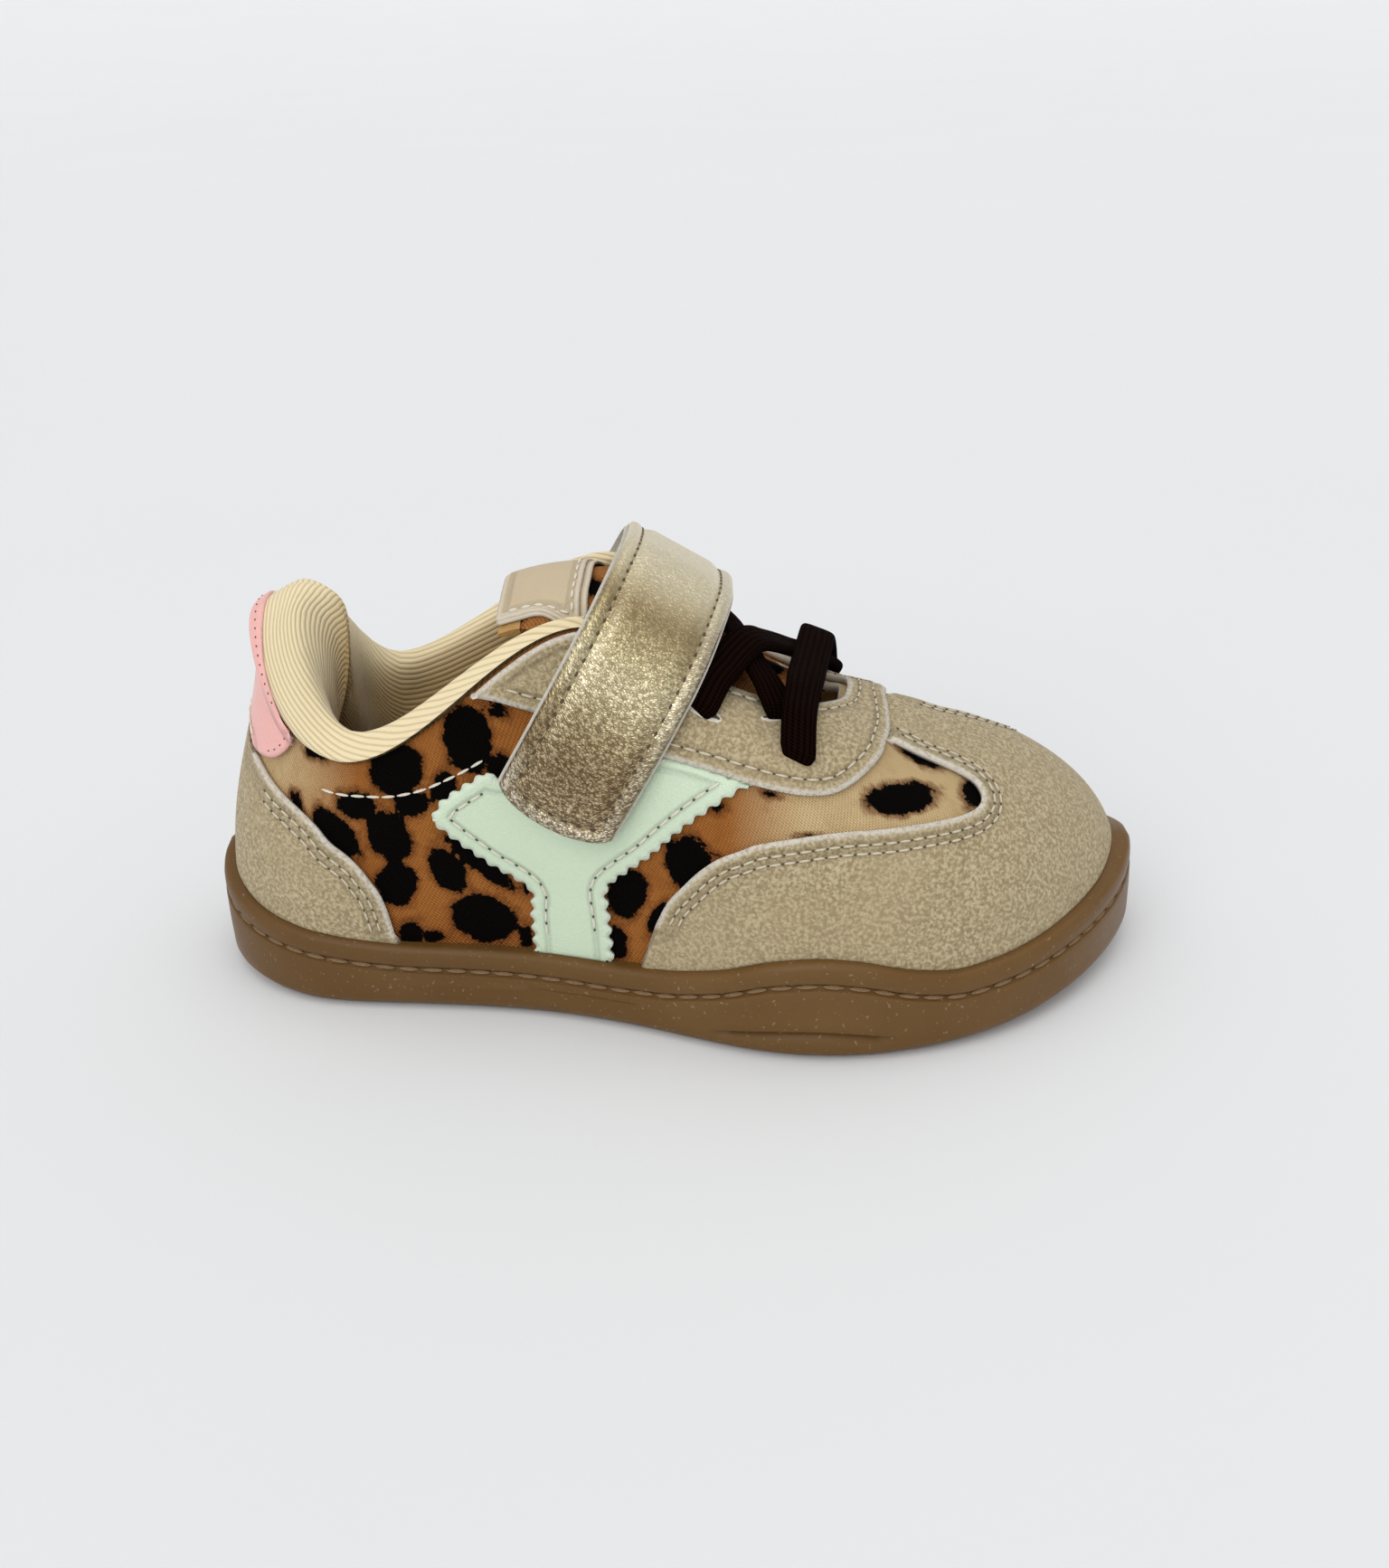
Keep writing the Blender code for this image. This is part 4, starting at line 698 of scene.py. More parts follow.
uneven = figure(weave, "MULTIPLY", noise(weave, given["Lay"], 1800.0), 0.9)
weave.links.new(figure(weave, "ADD", cords, uneven), result.inputs["Height"])
weave.links.new(ease(weave, cords, -0.8, 0.8), result.inputs["Shade"])

leopard, tree, shader = new_material("leopard_cloth_look", (0.42, 0.2, 0.07), 0.95, Specular_IOR_Level=0.03)
lay = kept_value(tree, "lay", "Vector")
wobble = figure(tree, "SUBTRACT", noise(tree, lay, 330.0, 3.0, 0.6), 0.5)
ragged = figure(tree, "SUBTRACT", noise(tree, lay, 1900.0, 2.0), 0.5)
distance = figure(tree, "ADD", kept_value(tree, "spot"), figure(tree, "MULTIPLY", wobble, 3.2))
distance = figure(tree, "ADD", distance, figure(tree, "MULTIPLY", ragged, 1.1))
woven = use_group(tree, weave, {"Lay": lay, "Pitch": WEAVE_PITCH})
ground = blend_colours(tree, kept_value(tree, "warm"), (0.72, 0.55, 0.30, 1.0), (0.40, 0.155, 0.038, 1.0))
smudge = ease(tree, noise(tree, lay, 150.0, 4.0, 0.6), 0.48, 0.68)
smudge = figure(tree, "MULTIPLY", smudge, ease(tree, kept_value(tree, "warm"), 0.0, 1.0, 0.16, 0.55))
ground = blend_colours(tree, smudge, ground, (0.30, 0.105, 0.024, 1.0))
halo = ease(tree, distance, 1.5, 0.2)
ground = tinted(tree, ground, halo, 0.75, (0.19, 0.065, 0.018, 1.0))
ground = blend_colours(tree, ease(tree, distance, 0.25, -0.25), ground, (0.0030, 0.0022, 0.0020, 1.0))
# Painted shade: the cloth's colour is darkened in the gaps between the cords.
painted_gap_shade = figure(tree, "MULTIPLY", figure(tree, "SUBTRACT", 1.0, woven["Shade"]), 0.55)
ground = blend_colours(tree, painted_gap_shade, ground, (0.50, 0.36, 0.28, 1.0), "MULTIPLY")
colour_by(tree, shader, ground)
raise_surface(tree, shader, woven["Height"], 0.00016, 0.8)

# The lining's knit carries painted shade between its loops.
lining = knit_look("cream_lining", (0.68, 0.53, 0.28), (0.48, 0.35, 0.16), 1100.0, 0.00015, 0.15)
raw_edge = flecked("raw_edge", (0.50, 0.44, 0.34), (0.80, 0.76, 0.68), 2600.0, 0.95, 3.0, 0.00012)


def move_verts(bm, points):
    for vertex, point in zip(bm.verts, points):
        vertex.co = point


def thicken(piece, thickness, face_slot=0, rim_slot=1):
    """Wall inwards from a piece's face, with the slots of its other face and its cut edge."""
    wall = piece.modifiers.new("wall", "SOLIDIFY")
    wall.thickness = thickness
    wall.offset = -1.0
    wall.material_offset = face_slot
    wall.material_offset_rim = rim_slot


column_ways = np.linspace(0, 2, UPPER_COLUMNS + 1)
row_ups = np.linspace(0, 1, UPPER_ROWS + 1)
way_grid, up_grid = np.meshgrid(column_ways, row_ups, indexing="ij")
bm = bmesh.new()
grid_surface(bm, np.stack([way_grid, up_grid, np.zeros_like(way_grid)], axis=-1))
bm.verts.ensure_lookup_table()
flat_places = np.array([vertex.co for vertex in bm.verts])
upper_way, upper_up = flat_places[:, 0], flat_places[:, 1]
upper_points = draped(upper_way, upper_up, 0.0)
move_verts(bm, upper_points)
upper = finish_piece("upper_cloth", bm, [leopard, lining, raw_edge], ["upper"])
thicken(upper, UPPER_WALL, 1, 2)


def lay_cloth(made, way, up, points, side_spots):
    """Print and weave values for a cloth piece on the last."""
    height = rib_length(way, up) * 1000
    along = points[:, 0] * 1000
    outer = way <= 1
    apart = np.where(outer, spot_distance(along, height, SPOTS), spot_distance(along, height, side_spots))
    keep_values(made, "spot", apart)
    pale = np.clip((34 - along) / 14, 0, 1) * np.clip((height - 26) / 10, 0, 1)
    pale = np.maximum(pale, np.clip((along - 96) / 12, 0, 1))
    keep_values(made, "warm", 1 - pale)
    keep_values(made, "lay", np.column_stack([way * 0.21, height / 1000, np.zeros(len(way))]))


inner_spots = [(x + 3.0, y - 1.5, first, second, -turn) for x, y, first, second, turn in SPOTS]
lay_cloth(upper, upper_way, upper_up, upper_points, inner_spots)


# Side panels. Mint leather cut with pinking shears into a forked stripe, with scalloped edges, laid on the
# cloth on both sides, tucked under the eyestay and the sole's rim, and sewn round with a pale thread.
OVERLAY_THICKNESS = 0.0010
PANEL_THICKNESS = 0.0009
EDGE_FALL = 0.00028
SCALLOP_PITCH = 0.0026
SCALLOP_DEPTH = 0.00032
PANEL_STITCH_IN = 0.0026
SIDE_PANEL = [
    (0.333, 0.670), (0.344, 0.724), (0.360, 0.742), (0.388, 0.750), (0.400, 0.700), (0.455, 0.650),
    (0.524, 0.652), (0.602, 0.650), (0.560, 0.536), (0.531, 0.459), (0.497, 0.371), (0.475, 0.328),
    (0.456, 0.283), (0.453, 0.20), (0.449, 0.00), (0.386, 0.00), (0.391, 0.218), (0.395, 0.297),
    (0.387, 0.349), (0.370, 0.425), (0.351, 0.541),
]
PANEL_CORNERS = (0, 3, 7, 14, 15)
SOLE_PART = 3
FINE_STEP = 0.0002
LINE_STEP = 0.0007


def curve_span(a, b, c, d, t):
    """Smooth stretch of a curve from b to c, whose neighbours are a and d."""
    return 0.5 * (2 * b + (c - a) * t + (2 * a - 5 * b + 4 * c - d) * t * t
                  + (3 * b - a - 3 * c + d) * t ** 3)


def curve_through(points, per=8):
    """Smooth open curve through the points of a short table."""
    points = np.asarray(points, float)
    padded = np.vstack([2 * points[0] - points[1], points, 2 * points[-1] - points[-2]])
    t = np.linspace(0, 1, per, endpoint=False)[:, None]
    made = [curve_span(*four, t) for four in zip(padded, padded[1:], padded[2:], padded[3:])]
    return np.vstack(made + [points[-1:]])


def even_line(line, step=LINE_STEP):
    """The same line on the last with its points a set step apart."""
    points = last_point(line[:, 0], line[:, 1])
    run = np.concatenate([[0.0], np.cumsum(np.linalg.norm(np.diff(points, axis=0), axis=1))])
    wanted = np.linspace(0, run[-1], max(int(run[-1] / step), 2) + 1)
    return np.column_stack([np.interp(wanted, run, line[:, k]) for k in (0, 1)])


def finder(points):
    """Search tree over points, which gives the nearest one, its number and its distance."""
    made = KDTree(len(points))
    for number, point in enumerate(points):
        made.insert(point, number)
    made.balance()
    return made


def moved_on_last(line, step, distance):
    """Line on the last moved by a distance, square to its steps."""
    round_step, up_step, normal = last_slopes(line[:, 0], line[:, 1])
    move = np.cross(normal, step) * np.broadcast_to(distance, len(line))[:, None]
    pairs = ((round_step, round_step), (round_step, up_step), (up_step, up_step),
             (round_step, move), (up_step, move))
    round_round, round_up, up_up, round_move, up_move = (np.sum(one * other, axis=1) for one, other in pairs)
    whole = round_round * up_up - round_up * round_up
    return line + np.column_stack([(round_move * up_up - up_move * round_up) / whole,
                                   (up_move * round_round - round_move * round_up) / whole])


def shifted_line(line, inset, clean=True):
    """Line on the last moved sideways by a distance, to the left as seen from outside."""
    points = last_point(line[:, 0], line[:, 1])
    step = np.gradient(points, axis=0)
    step /= np.linalg.norm(step, axis=1, keepdims=True)
    moved = moved_on_last(line, step, inset)
    if not clean:
        return moved
    on_line = finder(points)
    placed = last_point(moved[:, 0], moved[:, 1])
    kept = [on_line.find(point)[2] > 0.93 * abs(float(inset)) for point in placed]
    return even_line(moved[np.array(kept)])


def inner_loop(outline, inset):
    """Closed outline on the last drawn in by a distance, point for point."""
    points = last_point(outline[:, 0], outline[:, 1])
    step = np.roll(points, -2, axis=0) - np.roll(points, 2, axis=0)
    step /= np.linalg.norm(step, axis=1, keepdims=True)
    after = np.roll(outline, -1, axis=0)
    turn = np.sign(np.sum(outline[:, 0] * after[:, 1] - after[:, 0] * outline[:, 1]))
    return moved_on_last(outline, step, inset * turn)


def overlay_mesh(outline, inner, depth, way_step=0.0055, up_step=0.018):
    """Open skin of a pattern piece: a ring of even faces along its edge, the rest cut by close lines, draped on
    the last at a depth that may change over it. The edge itself lies lower, so that it catches the light."""
    bm = bmesh.new()
    edge_ring = [bm.verts.new((way, up, 0)) for way, up in outline]
    inner_ring = [bm.verts.new((way, up, 0)) for way, up in inner]
    middle = bm.faces.new(inner_ring)
    outer_face = bm.faces.new(edge_ring)
    bmesh.ops.delete(bm, geom=[outer_face], context="FACES_ONLY")
    for i, vertex in enumerate(edge_ring):
        after = (i + 1) % len(edge_ring)
        bm.faces.new((vertex, edge_ring[after], inner_ring[after], inner_ring[i]))
    at_edge = set(edge_ring)
    bmesh.ops.remove_doubles(bm, verts=inner_ring, dist=1e-6)
    middle = max(bm.faces, key=lambda face: len(face.verts))
    low, top = inner.min(axis=0), inner.max(axis=0)
    inside = [middle, *middle.edges, *middle.verts]
    for direction, places in ((Vector((1, 0, 0)), np.arange(low[0] + way_step, top[0], way_step)),
                              (Vector((0, 1, 0)), np.arange(low[1] + up_step, top[1], up_step))):
        for place in places:
            cut = bmesh.ops.bisect_plane(bm, geom=inside, dist=1e-6, plane_co=direction * float(place),
                                         plane_no=direction)
            inside = list(dict.fromkeys(cut["geom"] + cut["geom_cut"]))
    lowered = np.array([EDGE_FALL if vertex in at_edge else 0.0 for vertex in bm.verts])
    places = np.array([vertex.co for vertex in bm.verts])
    heights = depth(places[:, 0], places[:, 1]) if callable(depth) else depth
    move_verts(bm, draped(places[:, 0], places[:, 1], heights - lowered))
    bmesh.ops.recalc_face_normals(bm, faces=bm.faces)
    bm.normal_update()
    outer_side = last_slopes(places[:, 0], places[:, 1])[2]
    if sum(vertex.normal.dot(Vector(face)) for vertex, face in zip(bm.verts, outer_side)) < 0:
        bmesh.ops.reverse_faces(bm, faces=bm.faces)
    return bm


def distance_from(points, lines):
    """Distance of points from the nearest of some lines, in millimetres."""
    on_lines = finder(np.concatenate(lines))
    return [on_lines.find(point)[2] * 1000 for point in points]


def overlay(name, outline, sewn_lines, materials, node_name, low=CLEARANCE, thickness=OVERLAY_THICKNESS,
            inner=None, depth=None):
    """Leather or suede overlay, its edge rounded, with a thickness and a raw cut edge."""
    outline = outline[np.linalg.norm(outline - np.roll(outline, 1, axis=0), axis=1) > 1e-5]
    inner = inner_loop(outline, 0.0007) if inner is None else inner
    bm = overlay_mesh(outline, inner, low + thickness if depth is None else depth)
    lines = [draped(line[:, 0], line[:, 1], low + thickness) for line in sewn_lines]
    apart = distance_from([vertex.co for vertex in bm.verts], lines)
    made = finish_piece(name, bm, materials, [node_name])
    keep_values(made, "edge", apart)
    thicken(made, thickness)


def sew_on_last(bm, line, depth, pitch=0.0027, length=0.0022, width=0.00045, sunk=0.3):
    line = even_line(line, 0.0005)
    points = draped(line[:, 0], line[:, 1], depth)
    sew(bm, points, last_slopes(line[:, 0], line[:, 1])[2], pitch, length, width, sunk)


def needle_holes(bm, line, depth, pitch, size=0.00042):
    """Dark pricks between the stitches of a row: painted shade that stands for the needle holes."""
    line = even_line(line, 0.0005)
    points = draped(line[:, 0], line[:, 1], depth)
    sew(bm, points, last_slopes(line[:, 0], line[:, 1])[2], pitch, 1.3 * size, size, 0.36, start=1.0)


def rim_line(first, last, count):
    """Edge of a pattern piece that goes down just behind the sole's rim."""
    ways = np.linspace(first, last, count)
    return np.array([(way, up_at_height(way, float(rim_height(way)) - 0.0004)) for way in ways])


# Row of sewing pressed into leather: troughs at one or two distances from the edge
sewn, given, result = group_of("sewn_troughs", [("Edge", "NodeSocketFloat", None),
                                                ("First", "NodeSocketFloat", 2.4),
                                                ("Second", "NodeSocketFloat", 90.0)],
                               [("Height", "NodeSocketFloat"), ("Border", "NodeSocketFloat")])
first = figure(sewn, "ABSOLUTE", figure(sewn, "SUBTRACT", given["Edge"], given["First"]))
second = figure(sewn, "ABSOLUTE", figure(sewn, "SUBTRACT", given["Edge"], given["Second"]))
trough = figure(sewn, "MINIMUM", ease(sewn, first, 0.0, 0.9), ease(sewn, second, 0.0, 0.9))
sewn.links.new(trough, result.inputs["Height"])
sewn.links.new(ease(sewn, given["Edge"], 1.25, 0.35), result.inputs["Border"])

# Leather grain: small pebbles with finer creases between them
grain, given, result = group_of("leather_grain", [("Vector", "NodeSocketVector", None),
                                                  ("Pebble", "NodeSocketFloat", 1300.0)],
                                [("Height", "NodeSocketFloat")])
pebble = node(grain, "ShaderNodeTexVoronoi", {"Vector": given["Vector"], "Scale": given["Pebble"]},
              feature="DISTANCE_TO_EDGE").outputs["Distance"]
fine = noise(grain, given["Vector"], 2600.0, 3.0)
grain.links.new(figure(grain, "ADD", ease(grain, pebble, 0.0, 0.22), figure(grain, "MULTIPLY", fine, 0.6)),
                result.inputs["Height"])


def smooth_leather(name, light, dark, first, pebble, roughness, **constants):
    """Finished leather with fine grain, a pressed row of sewing darkened by painted shade, and a slightly paler
    cut border.
    """
    made, tree, shader = new_material(name, light, roughness, **constants)
    spot = place_of(tree)
    rows = use_group(tree, sewn, {"Edge": kept_value(tree, "edge"), "First": first})
    height = use_group(tree, grain, {"Vector": spot, "Pebble": pebble})["Height"]
    shade = blend_colours(tree, noise(tree, spot, 90.0, 3.0), (*dark, 1.0), (*light, 1.0))
    # Painted shade: the colour is darkened along the pressed sewing troughs.
    pressed = figure(tree, "MULTIPLY", figure(tree, "SUBTRACT", 1.0, rows["Height"]), 0.28)
    shade = blend_colours(tree, pressed, shade, tuple(0.55 * part for part in dark) + (1.0,))
    shade = tinted(tree, shade, rows["Border"], 0.25, (0.9, 0.9, 0.86, 1.0))
    colour_by(tree, shader, shade)
    rough = ease(tree, height, 0.1, 1.3, roughness + 0.12, roughness - 0.05)
    tree.links.new(rough, shader.inputs["Roughness"])
    pebbles = figure(tree, "MULTIPLY", height, 0.10)
    both = figure(tree, "ADD", pebbles, figure(tree, "MULTIPLY", rows["Height"], 0.9))
    raise_surface(tree, shader, both, 0.00035)
    return made


mint = smooth_leather("mint_leather_look", (0.60, 0.72, 0.54), (0.54, 0.66, 0.485), 2.6, 1500.0, 0.42,
                      Coat_Weight=0.15, Coat_Roughness=0.3)
mint_edge = flecked("mint_cut_edge", (0.55, 0.70, 0.54), (0.78, 0.84, 0.74), 2200.0, 0.8)
pale_thread = flecked("pale_thread", (0.56, 0.50, 0.38), (0.86, 0.83, 0.74), 4200.0, 0.75, 1.0, 0.00008,
                      Sheen_Weight=0.2)
# Painted shade: a dark finish for the grains that stand for needle holes.
painted_hole_shade = flecked("needle_hole", (0.05, 0.042, 0.03), (0.14, 0.12, 0.09), 3000.0, 0.95)


def scalloped(line, side, lowest):
    """Pinked edge of a panel line: even round bites, none beside the sole."""
    run = np.arange(len(line)) * FINE_STEP
    bite = SCALLOP_DEPTH * np.cos(2 * math.pi * run / SCALLOP_PITCH)
    return shifted_line(line, side * bite, clean=False), line[:, 1] > lowest + 0.004


def panel_depth(way, up):
    """The panel is pared thin where its arm goes in under the eyestay."""
    edge_up = np.interp(np.where(way > 1, 2 - way, way), [0.392, 0.436, 0.470, 0.500, 0.535, 0.621],
                        [0.990, 0.830, 0.730, 0.660, 0.638, 0.640])
    under = np.clip((up - edge_up + 0.012) / 0.014, 0, 1)
    return CLEARANCE + PANEL_THICKNESS - 0.0008 * under * under * (3 - 2 * under)


panel_thread = bmesh.new()
panel_pricks = bmesh.new()
for side, name in ((-1, "outer"), (1, "inner")):
    parts = []
    for first, last in zip(PANEL_CORNERS, PANEL_CORNERS[1:] + (len(SIDE_PANEL),)):
        points = (SIDE_PANEL + SIDE_PANEL[:1])[first:last + 1]
        line = curve_through(points) if len(points) > 2 else np.array(points)
        if side > 0:
            line = np.column_stack([2 - line[:, 0], line[:, 1]])
        parts.append(even_line(line, FINE_STEP))
    sewn_parts = [last_point(part[:, 0], part[:, 1]) for k, part in enumerate(parts) if k != SOLE_PART]
    outer_parts, inner_parts = [], []
    for index, line in enumerate(parts):
        lowest = np.array([up_at_height(way, float(rim_height(way)) - 0.0004) for way in line[:, 0]])
        if index == SOLE_PART:
            outer_parts.append(np.column_stack([line[:, 0], lowest])[1:-1:5])
            inner_parts.append(np.column_stack([line[:, 0], lowest + 0.012])[1:-1:5])
            continue
        cut, keep = scalloped(line, side, lowest)
        outer_parts.append(cut[keep][1:-1])
        within = shifted_line(line, side * 0.0011, clean=False)
        others = [last_point(other[:, 0], other[:, 1])
                  for k, other in enumerate(parts) if k not in (index, SOLE_PART)]
        free = np.array(distance_from(last_point(within[:, 0], within[:, 1]), others)) > 1.07
        free = np.flatnonzero(free)
        within = within[np.clip(np.arange(len(within)), free[0], free[-1])]
        inner_parts.append(within[keep][1:-1])
    overlay(f"mint_panel_{name}", np.vstack(outer_parts), [parts[0], parts[1], parts[2], parts[4]],
            [mint, mint_edge], f"side_panel_{name}", thickness=PANEL_THICKNESS,
            inner=np.vstack(inner_parts), depth=panel_depth)
    for line, edges in ((np.vstack([parts[4], parts[0]]), sewn_parts),
                        (parts[2], sewn_parts[:1] + sewn_parts[2:])):
        row = shifted_line(line[::4], side * PANEL_STITCH_IN)
        apart = np.array(distance_from(last_point(row[:, 0], row[:, 1]), edges))
        row = row[(apart > 960 * PANEL_STITCH_IN) & (row[:, 1] > 0.15)]
        row = row[(row[:, 1] < 0.627) | (np.abs(row[:, 0] - 1) > 0.55)]
        sew_on_last(panel_thread, row, CLEARANCE + PANEL_THICKNESS, pitch=0.0026, length=0.0021)
        needle_holes(panel_pricks, row, CLEARANCE + PANEL_THICKNESS, 0.0026)
finish_piece("panel_stitching", panel_thread, [pale_thread])
finish_piece("panel_needle_holes", panel_pricks, [painted_hole_shade])


# Heel counter. A wrap of greige suede round the back, from the sole's rim up to the heel tab, sewn with a
# double row of pale thread along its edge.
COUNTER_EDGE = [
    (0.288, 0.00), (0.280, 0.31), (0.270, 0.43), (0.257, 0.52), (0.234, 0.60), (0.213, 0.68),
    (0.180, 0.72), (0.130, 0.715), (0.090, 0.70),
]
COUNTER_ROWS = (0.0023, 0.0040)

beige_thread = flecked("beige_thread", (0.44, 0.37, 0.25), (0.74, 0.68, 0.54), 4200.0, 0.8, 1.0, 0.00008)
# Painted shade: a dark finish for the grains that stand for needle holes in the suede and the strap.
suede_hole_shade = flecked("suede_needle_hole", (0.05, 0.038, 0.022), (0.12, 0.09, 0.055), 3000.0, 0.95)


def suede_look(name, first, second):
    """Napped suede with mottled tone, pressed rows of sewing darkened by painted shade, and a pale fibrous
    border.
    """
    made, tree, shader = new_material(name, (0.43, 0.35, 0.24), 0.95, Sheen_Weight=0.12, Sheen_Roughness=0.5,
                                      Specular_IOR_Level=0.2)
    spot = place_of(tree)
    rows = use_group(tree, sewn, {"Edge": kept_value(tree, "edge"), "First": first, "Second": second})
    nap = noise(tree, spot, 1650.0, 3.0, 0.6)
    tone = blend_colours(tree, ease(tree, nap, 0.36, 0.68), (0.27, 0.208, 0.112, 1.0),
                         (0.52, 0.435, 0.275, 1.0))
    cloud = ease(tree, noise(tree, spot, 45.0, 2.0), 0.35, 0.7)
    tone = tinted(tree, tone, cloud, 0.35, (0.40, 0.315, 0.185, 1.0))
    marks = use_group(tree, handling, {"Vector": spot, "Patch": 70.0, "Speck": 1100.0})
    tone = tinted(tree, tone, marks["Speck"], 0.35, (0.62, 0.55, 0.44, 1.0))
    # Painted shade: the colour is darkened along the pressed sewing troughs.
    pressed = figure(tree, "MULTIPLY", figure(tree, "SUBTRACT", 1.0, rows["Height"]), 0.22)
    tone = blend_colours(tree, pressed, tone, (0.20, 0.15, 0.09, 1.0))
    fibres = ease(tree, noise(tree, spot, 1500.0), 0.3, 0.6, 0.35, 0.9)
    fray = figure(tree, "MULTIPLY", rows["Border"], fibres)
    tone = blend_colours(tree, fray, tone, (0.66, 0.63, 0.57, 1.0))
    colour_by(tree, shader, tone)
    fuzz = figure(tree, "ADD", figure(tree, "MULTIPLY", nap, 0.35),
                  figure(tree, "MULTIPLY", noise(tree, spot, 2200.0, 2.0), 0.2))
    relief = figure(tree, "ADD", fuzz, figure(tree, "MULTIPLY", rows["Height"], 0.8))
    raise_surface(tree, shader, relief, 0.00045)
    return made


suede_thread = bmesh.new()
suede_pricks = bmesh.new()


def sew_suede(line, depth, pitch, length):
    sew_on_last(suede_thread, line, depth, pitch, length, 0.00042)
    needle_holes(suede_pricks, line, depth, pitch, 0.00036)


edge_curve = even_line(curve_through(COUNTER_EDGE))
edge_curve = edge_curve[edge_curve[:, 1] > 0.165]
mirrored = np.column_stack([-edge_curve[:, 0], edge_curve[:, 1]])
outline = np.vstack([rim_line(-0.288, 0.288, 90), edge_curve, mirrored[::-1]])
overlay("suede_counter", outline, [edge_curve, mirrored], [suede_look("counter_suede", 2.3, 4.0), raw_edge],
        "heel_counter")
for inset in COUNTER_ROWS:
    for line, turn in ((edge_curve, 1), (mirrored, -1)):
        row = shifted_line(line, turn * inset)
        row = row[(row[:, 1] > 0.175) & (np.abs(row[:, 0]) > 0.12)]
        sew_suede(row, CLEARANCE + OVERLAY_THICKNESS, 0.0024, 0.0019)


# Heel tab. A cap of smooth pink leather behind the collar, over the counter's top, with a sewn lower edge and
# fine pricks along its front edge.
TAB_LOW = 1.6 * CLEARANCE
HEEL_TAB_EDGE = [(0.085, 0.71), (0.105, 0.74), (0.135, 0.81), (0.158, 0.90), (0.172, 0.985)]

pink = smooth_leather("pink_leather_look", (0.86, 0.46, 0.42), (0.80, 0.40, 0.365), 1.8, 1700.0, 0.36,
                      Coat_Weight=0.25, Coat_Roughness=0.25)
pink_edge = flecked("pink_cut_edge", (0.70, 0.36, 0.36), (0.88, 0.62, 0.60), 2200.0, 0.8)
tab_edge = even_line(curve_through(HEEL_TAB_EDGE))
tab_mirror = np.column_stack([-tab_edge[:, 0], tab_edge[:, 1]])
tab_base = even_line(np.array([(-0.085, 0.71), (-0.04, 0.702), (0.0, 0.70), (0.04, 0.702), (0.085, 0.71)]))
tab_top = even_line(np.array([(0.172, 0.985), (-0.172, 0.985)]))
outline = np.vstack([tab_base[:-1], tab_edge[:-1], tab_top[:-1], tab_mirror[::-1][:-1]])
overlay("pink_heel_tab", outline, [tab_base], [pink, pink_edge], "heel_tab", low=TAB_LOW)
tab_pricks = bmesh.new()
tab_thread = bmesh.new()
for line, turn in ((tab_edge, 1), (tab_mirror, -1)):
    row = shifted_line(line[6:], turn * 0.0012)
    needle_holes(tab_pricks, row, TAB_LOW + OVERLAY_THICKNESS, 0.0017, 0.0003)
base_row = shifted_line(tab_base, 0.0018)
sew_on_last(tab_thread, base_row, TAB_LOW + OVERLAY_THICKNESS, pitch=0.0026, length=0.0020)
finish_piece("heel_tab_pricks", tab_pricks, [painted_hole_shade])
finish_piece("heel_tab_stitching", tab_thread, [pale_thread])


# Toe overlay. One piece of suede that wraps the toe and runs back along both sides over the sole's wave,
# with a window of cloth on each side and a double row of sewing along its edge.
TOE_EDGE_OUTER = [
    (0.476, 0.12), (0.491, 0.19), (0.506, 0.26), (0.522, 0.31), (0.537, 0.355), (0.556, 0.403),
    (0.574, 0.438), (0.597, 0.480), (0.642, 0.532), (0.675, 0.557), (0.710, 0.566), (0.750, 0.570),
    (0.795, 0.566), (0.822, 0.570), (0.839, 0.585), (0.851, 0.608), (0.859, 0.647), (0.854, 0.696),
    (0.844, 0.736), (0.829, 0.795), (0.815, 0.836),
]
TOE_EDGE_INNER = [
    (0.476, 0.12), (0.491, 0.19), (0.506, 0.26), (0.522, 0.31), (0.537, 0.355), (0.556, 0.403),
    (0.574, 0.438), (0.597, 0.480), (0.642, 0.527), (0.675, 0.550), (0.720, 0.560), (0.770, 0.563),
    (0.830, 0.566), (0.880, 0.578), (0.912, 0.605), (0.928, 0.645), (0.936, 0.700), (0.944, 0.750),
    (0.952, 0.800), (0.958, 0.862),
]
TOE_TOP = [(0.803, 0.872), (0.815, 0.900), (0.892, 0.940), (0.975, 0.955), (1.02, 0.950), (1.036, 0.915)]
TOE_ROWS = (0.0022, 0.0035)

# Lower edge of the eyestay, which the toe piece goes in under, and the eyestay's height over the cloth
EYESTAY_LOW = 1.3 * CLEARANCE
EYESTAY_EDGE = [
    (0.392, 0.99), (0.409, 0.93), (0.436, 0.83), (0.470, 0.73), (0.500, 0.66), (0.535, 0.638),
    (0.577, 0.637), (0.621, 0.640), (0.650, 0.648), (0.675, 0.668), (0.700, 0.705), (0.725, 0.743),
    (0.763, 0.793), (0.811, 0.846), (0.892, 0.895), (0.975, 0.918),
]

outer_edge = even_line(curve_through(TOE_EDGE_OUTER))
inner_edge = even_line(curve_through([(2 - way, up) for way, up in TOE_EDGE_INNER]))
outer_edge = outer_edge[outer_edge[:, 1] > 0.20]
inner_edge = inner_edge[inner_edge[:, 1] > 0.20]
outline = np.vstack([rim_line(0.474, 1.526, 150), inner_edge, even_line(np.array(TOE_TOP[::-1]))[1:-1],
                     outer_edge[::-1]])
eyestay_low = even_line(curve_through(EYESTAY_EDGE + [(2 - way, up) for way, up in EYESTAY_EDGE[::-1]]))


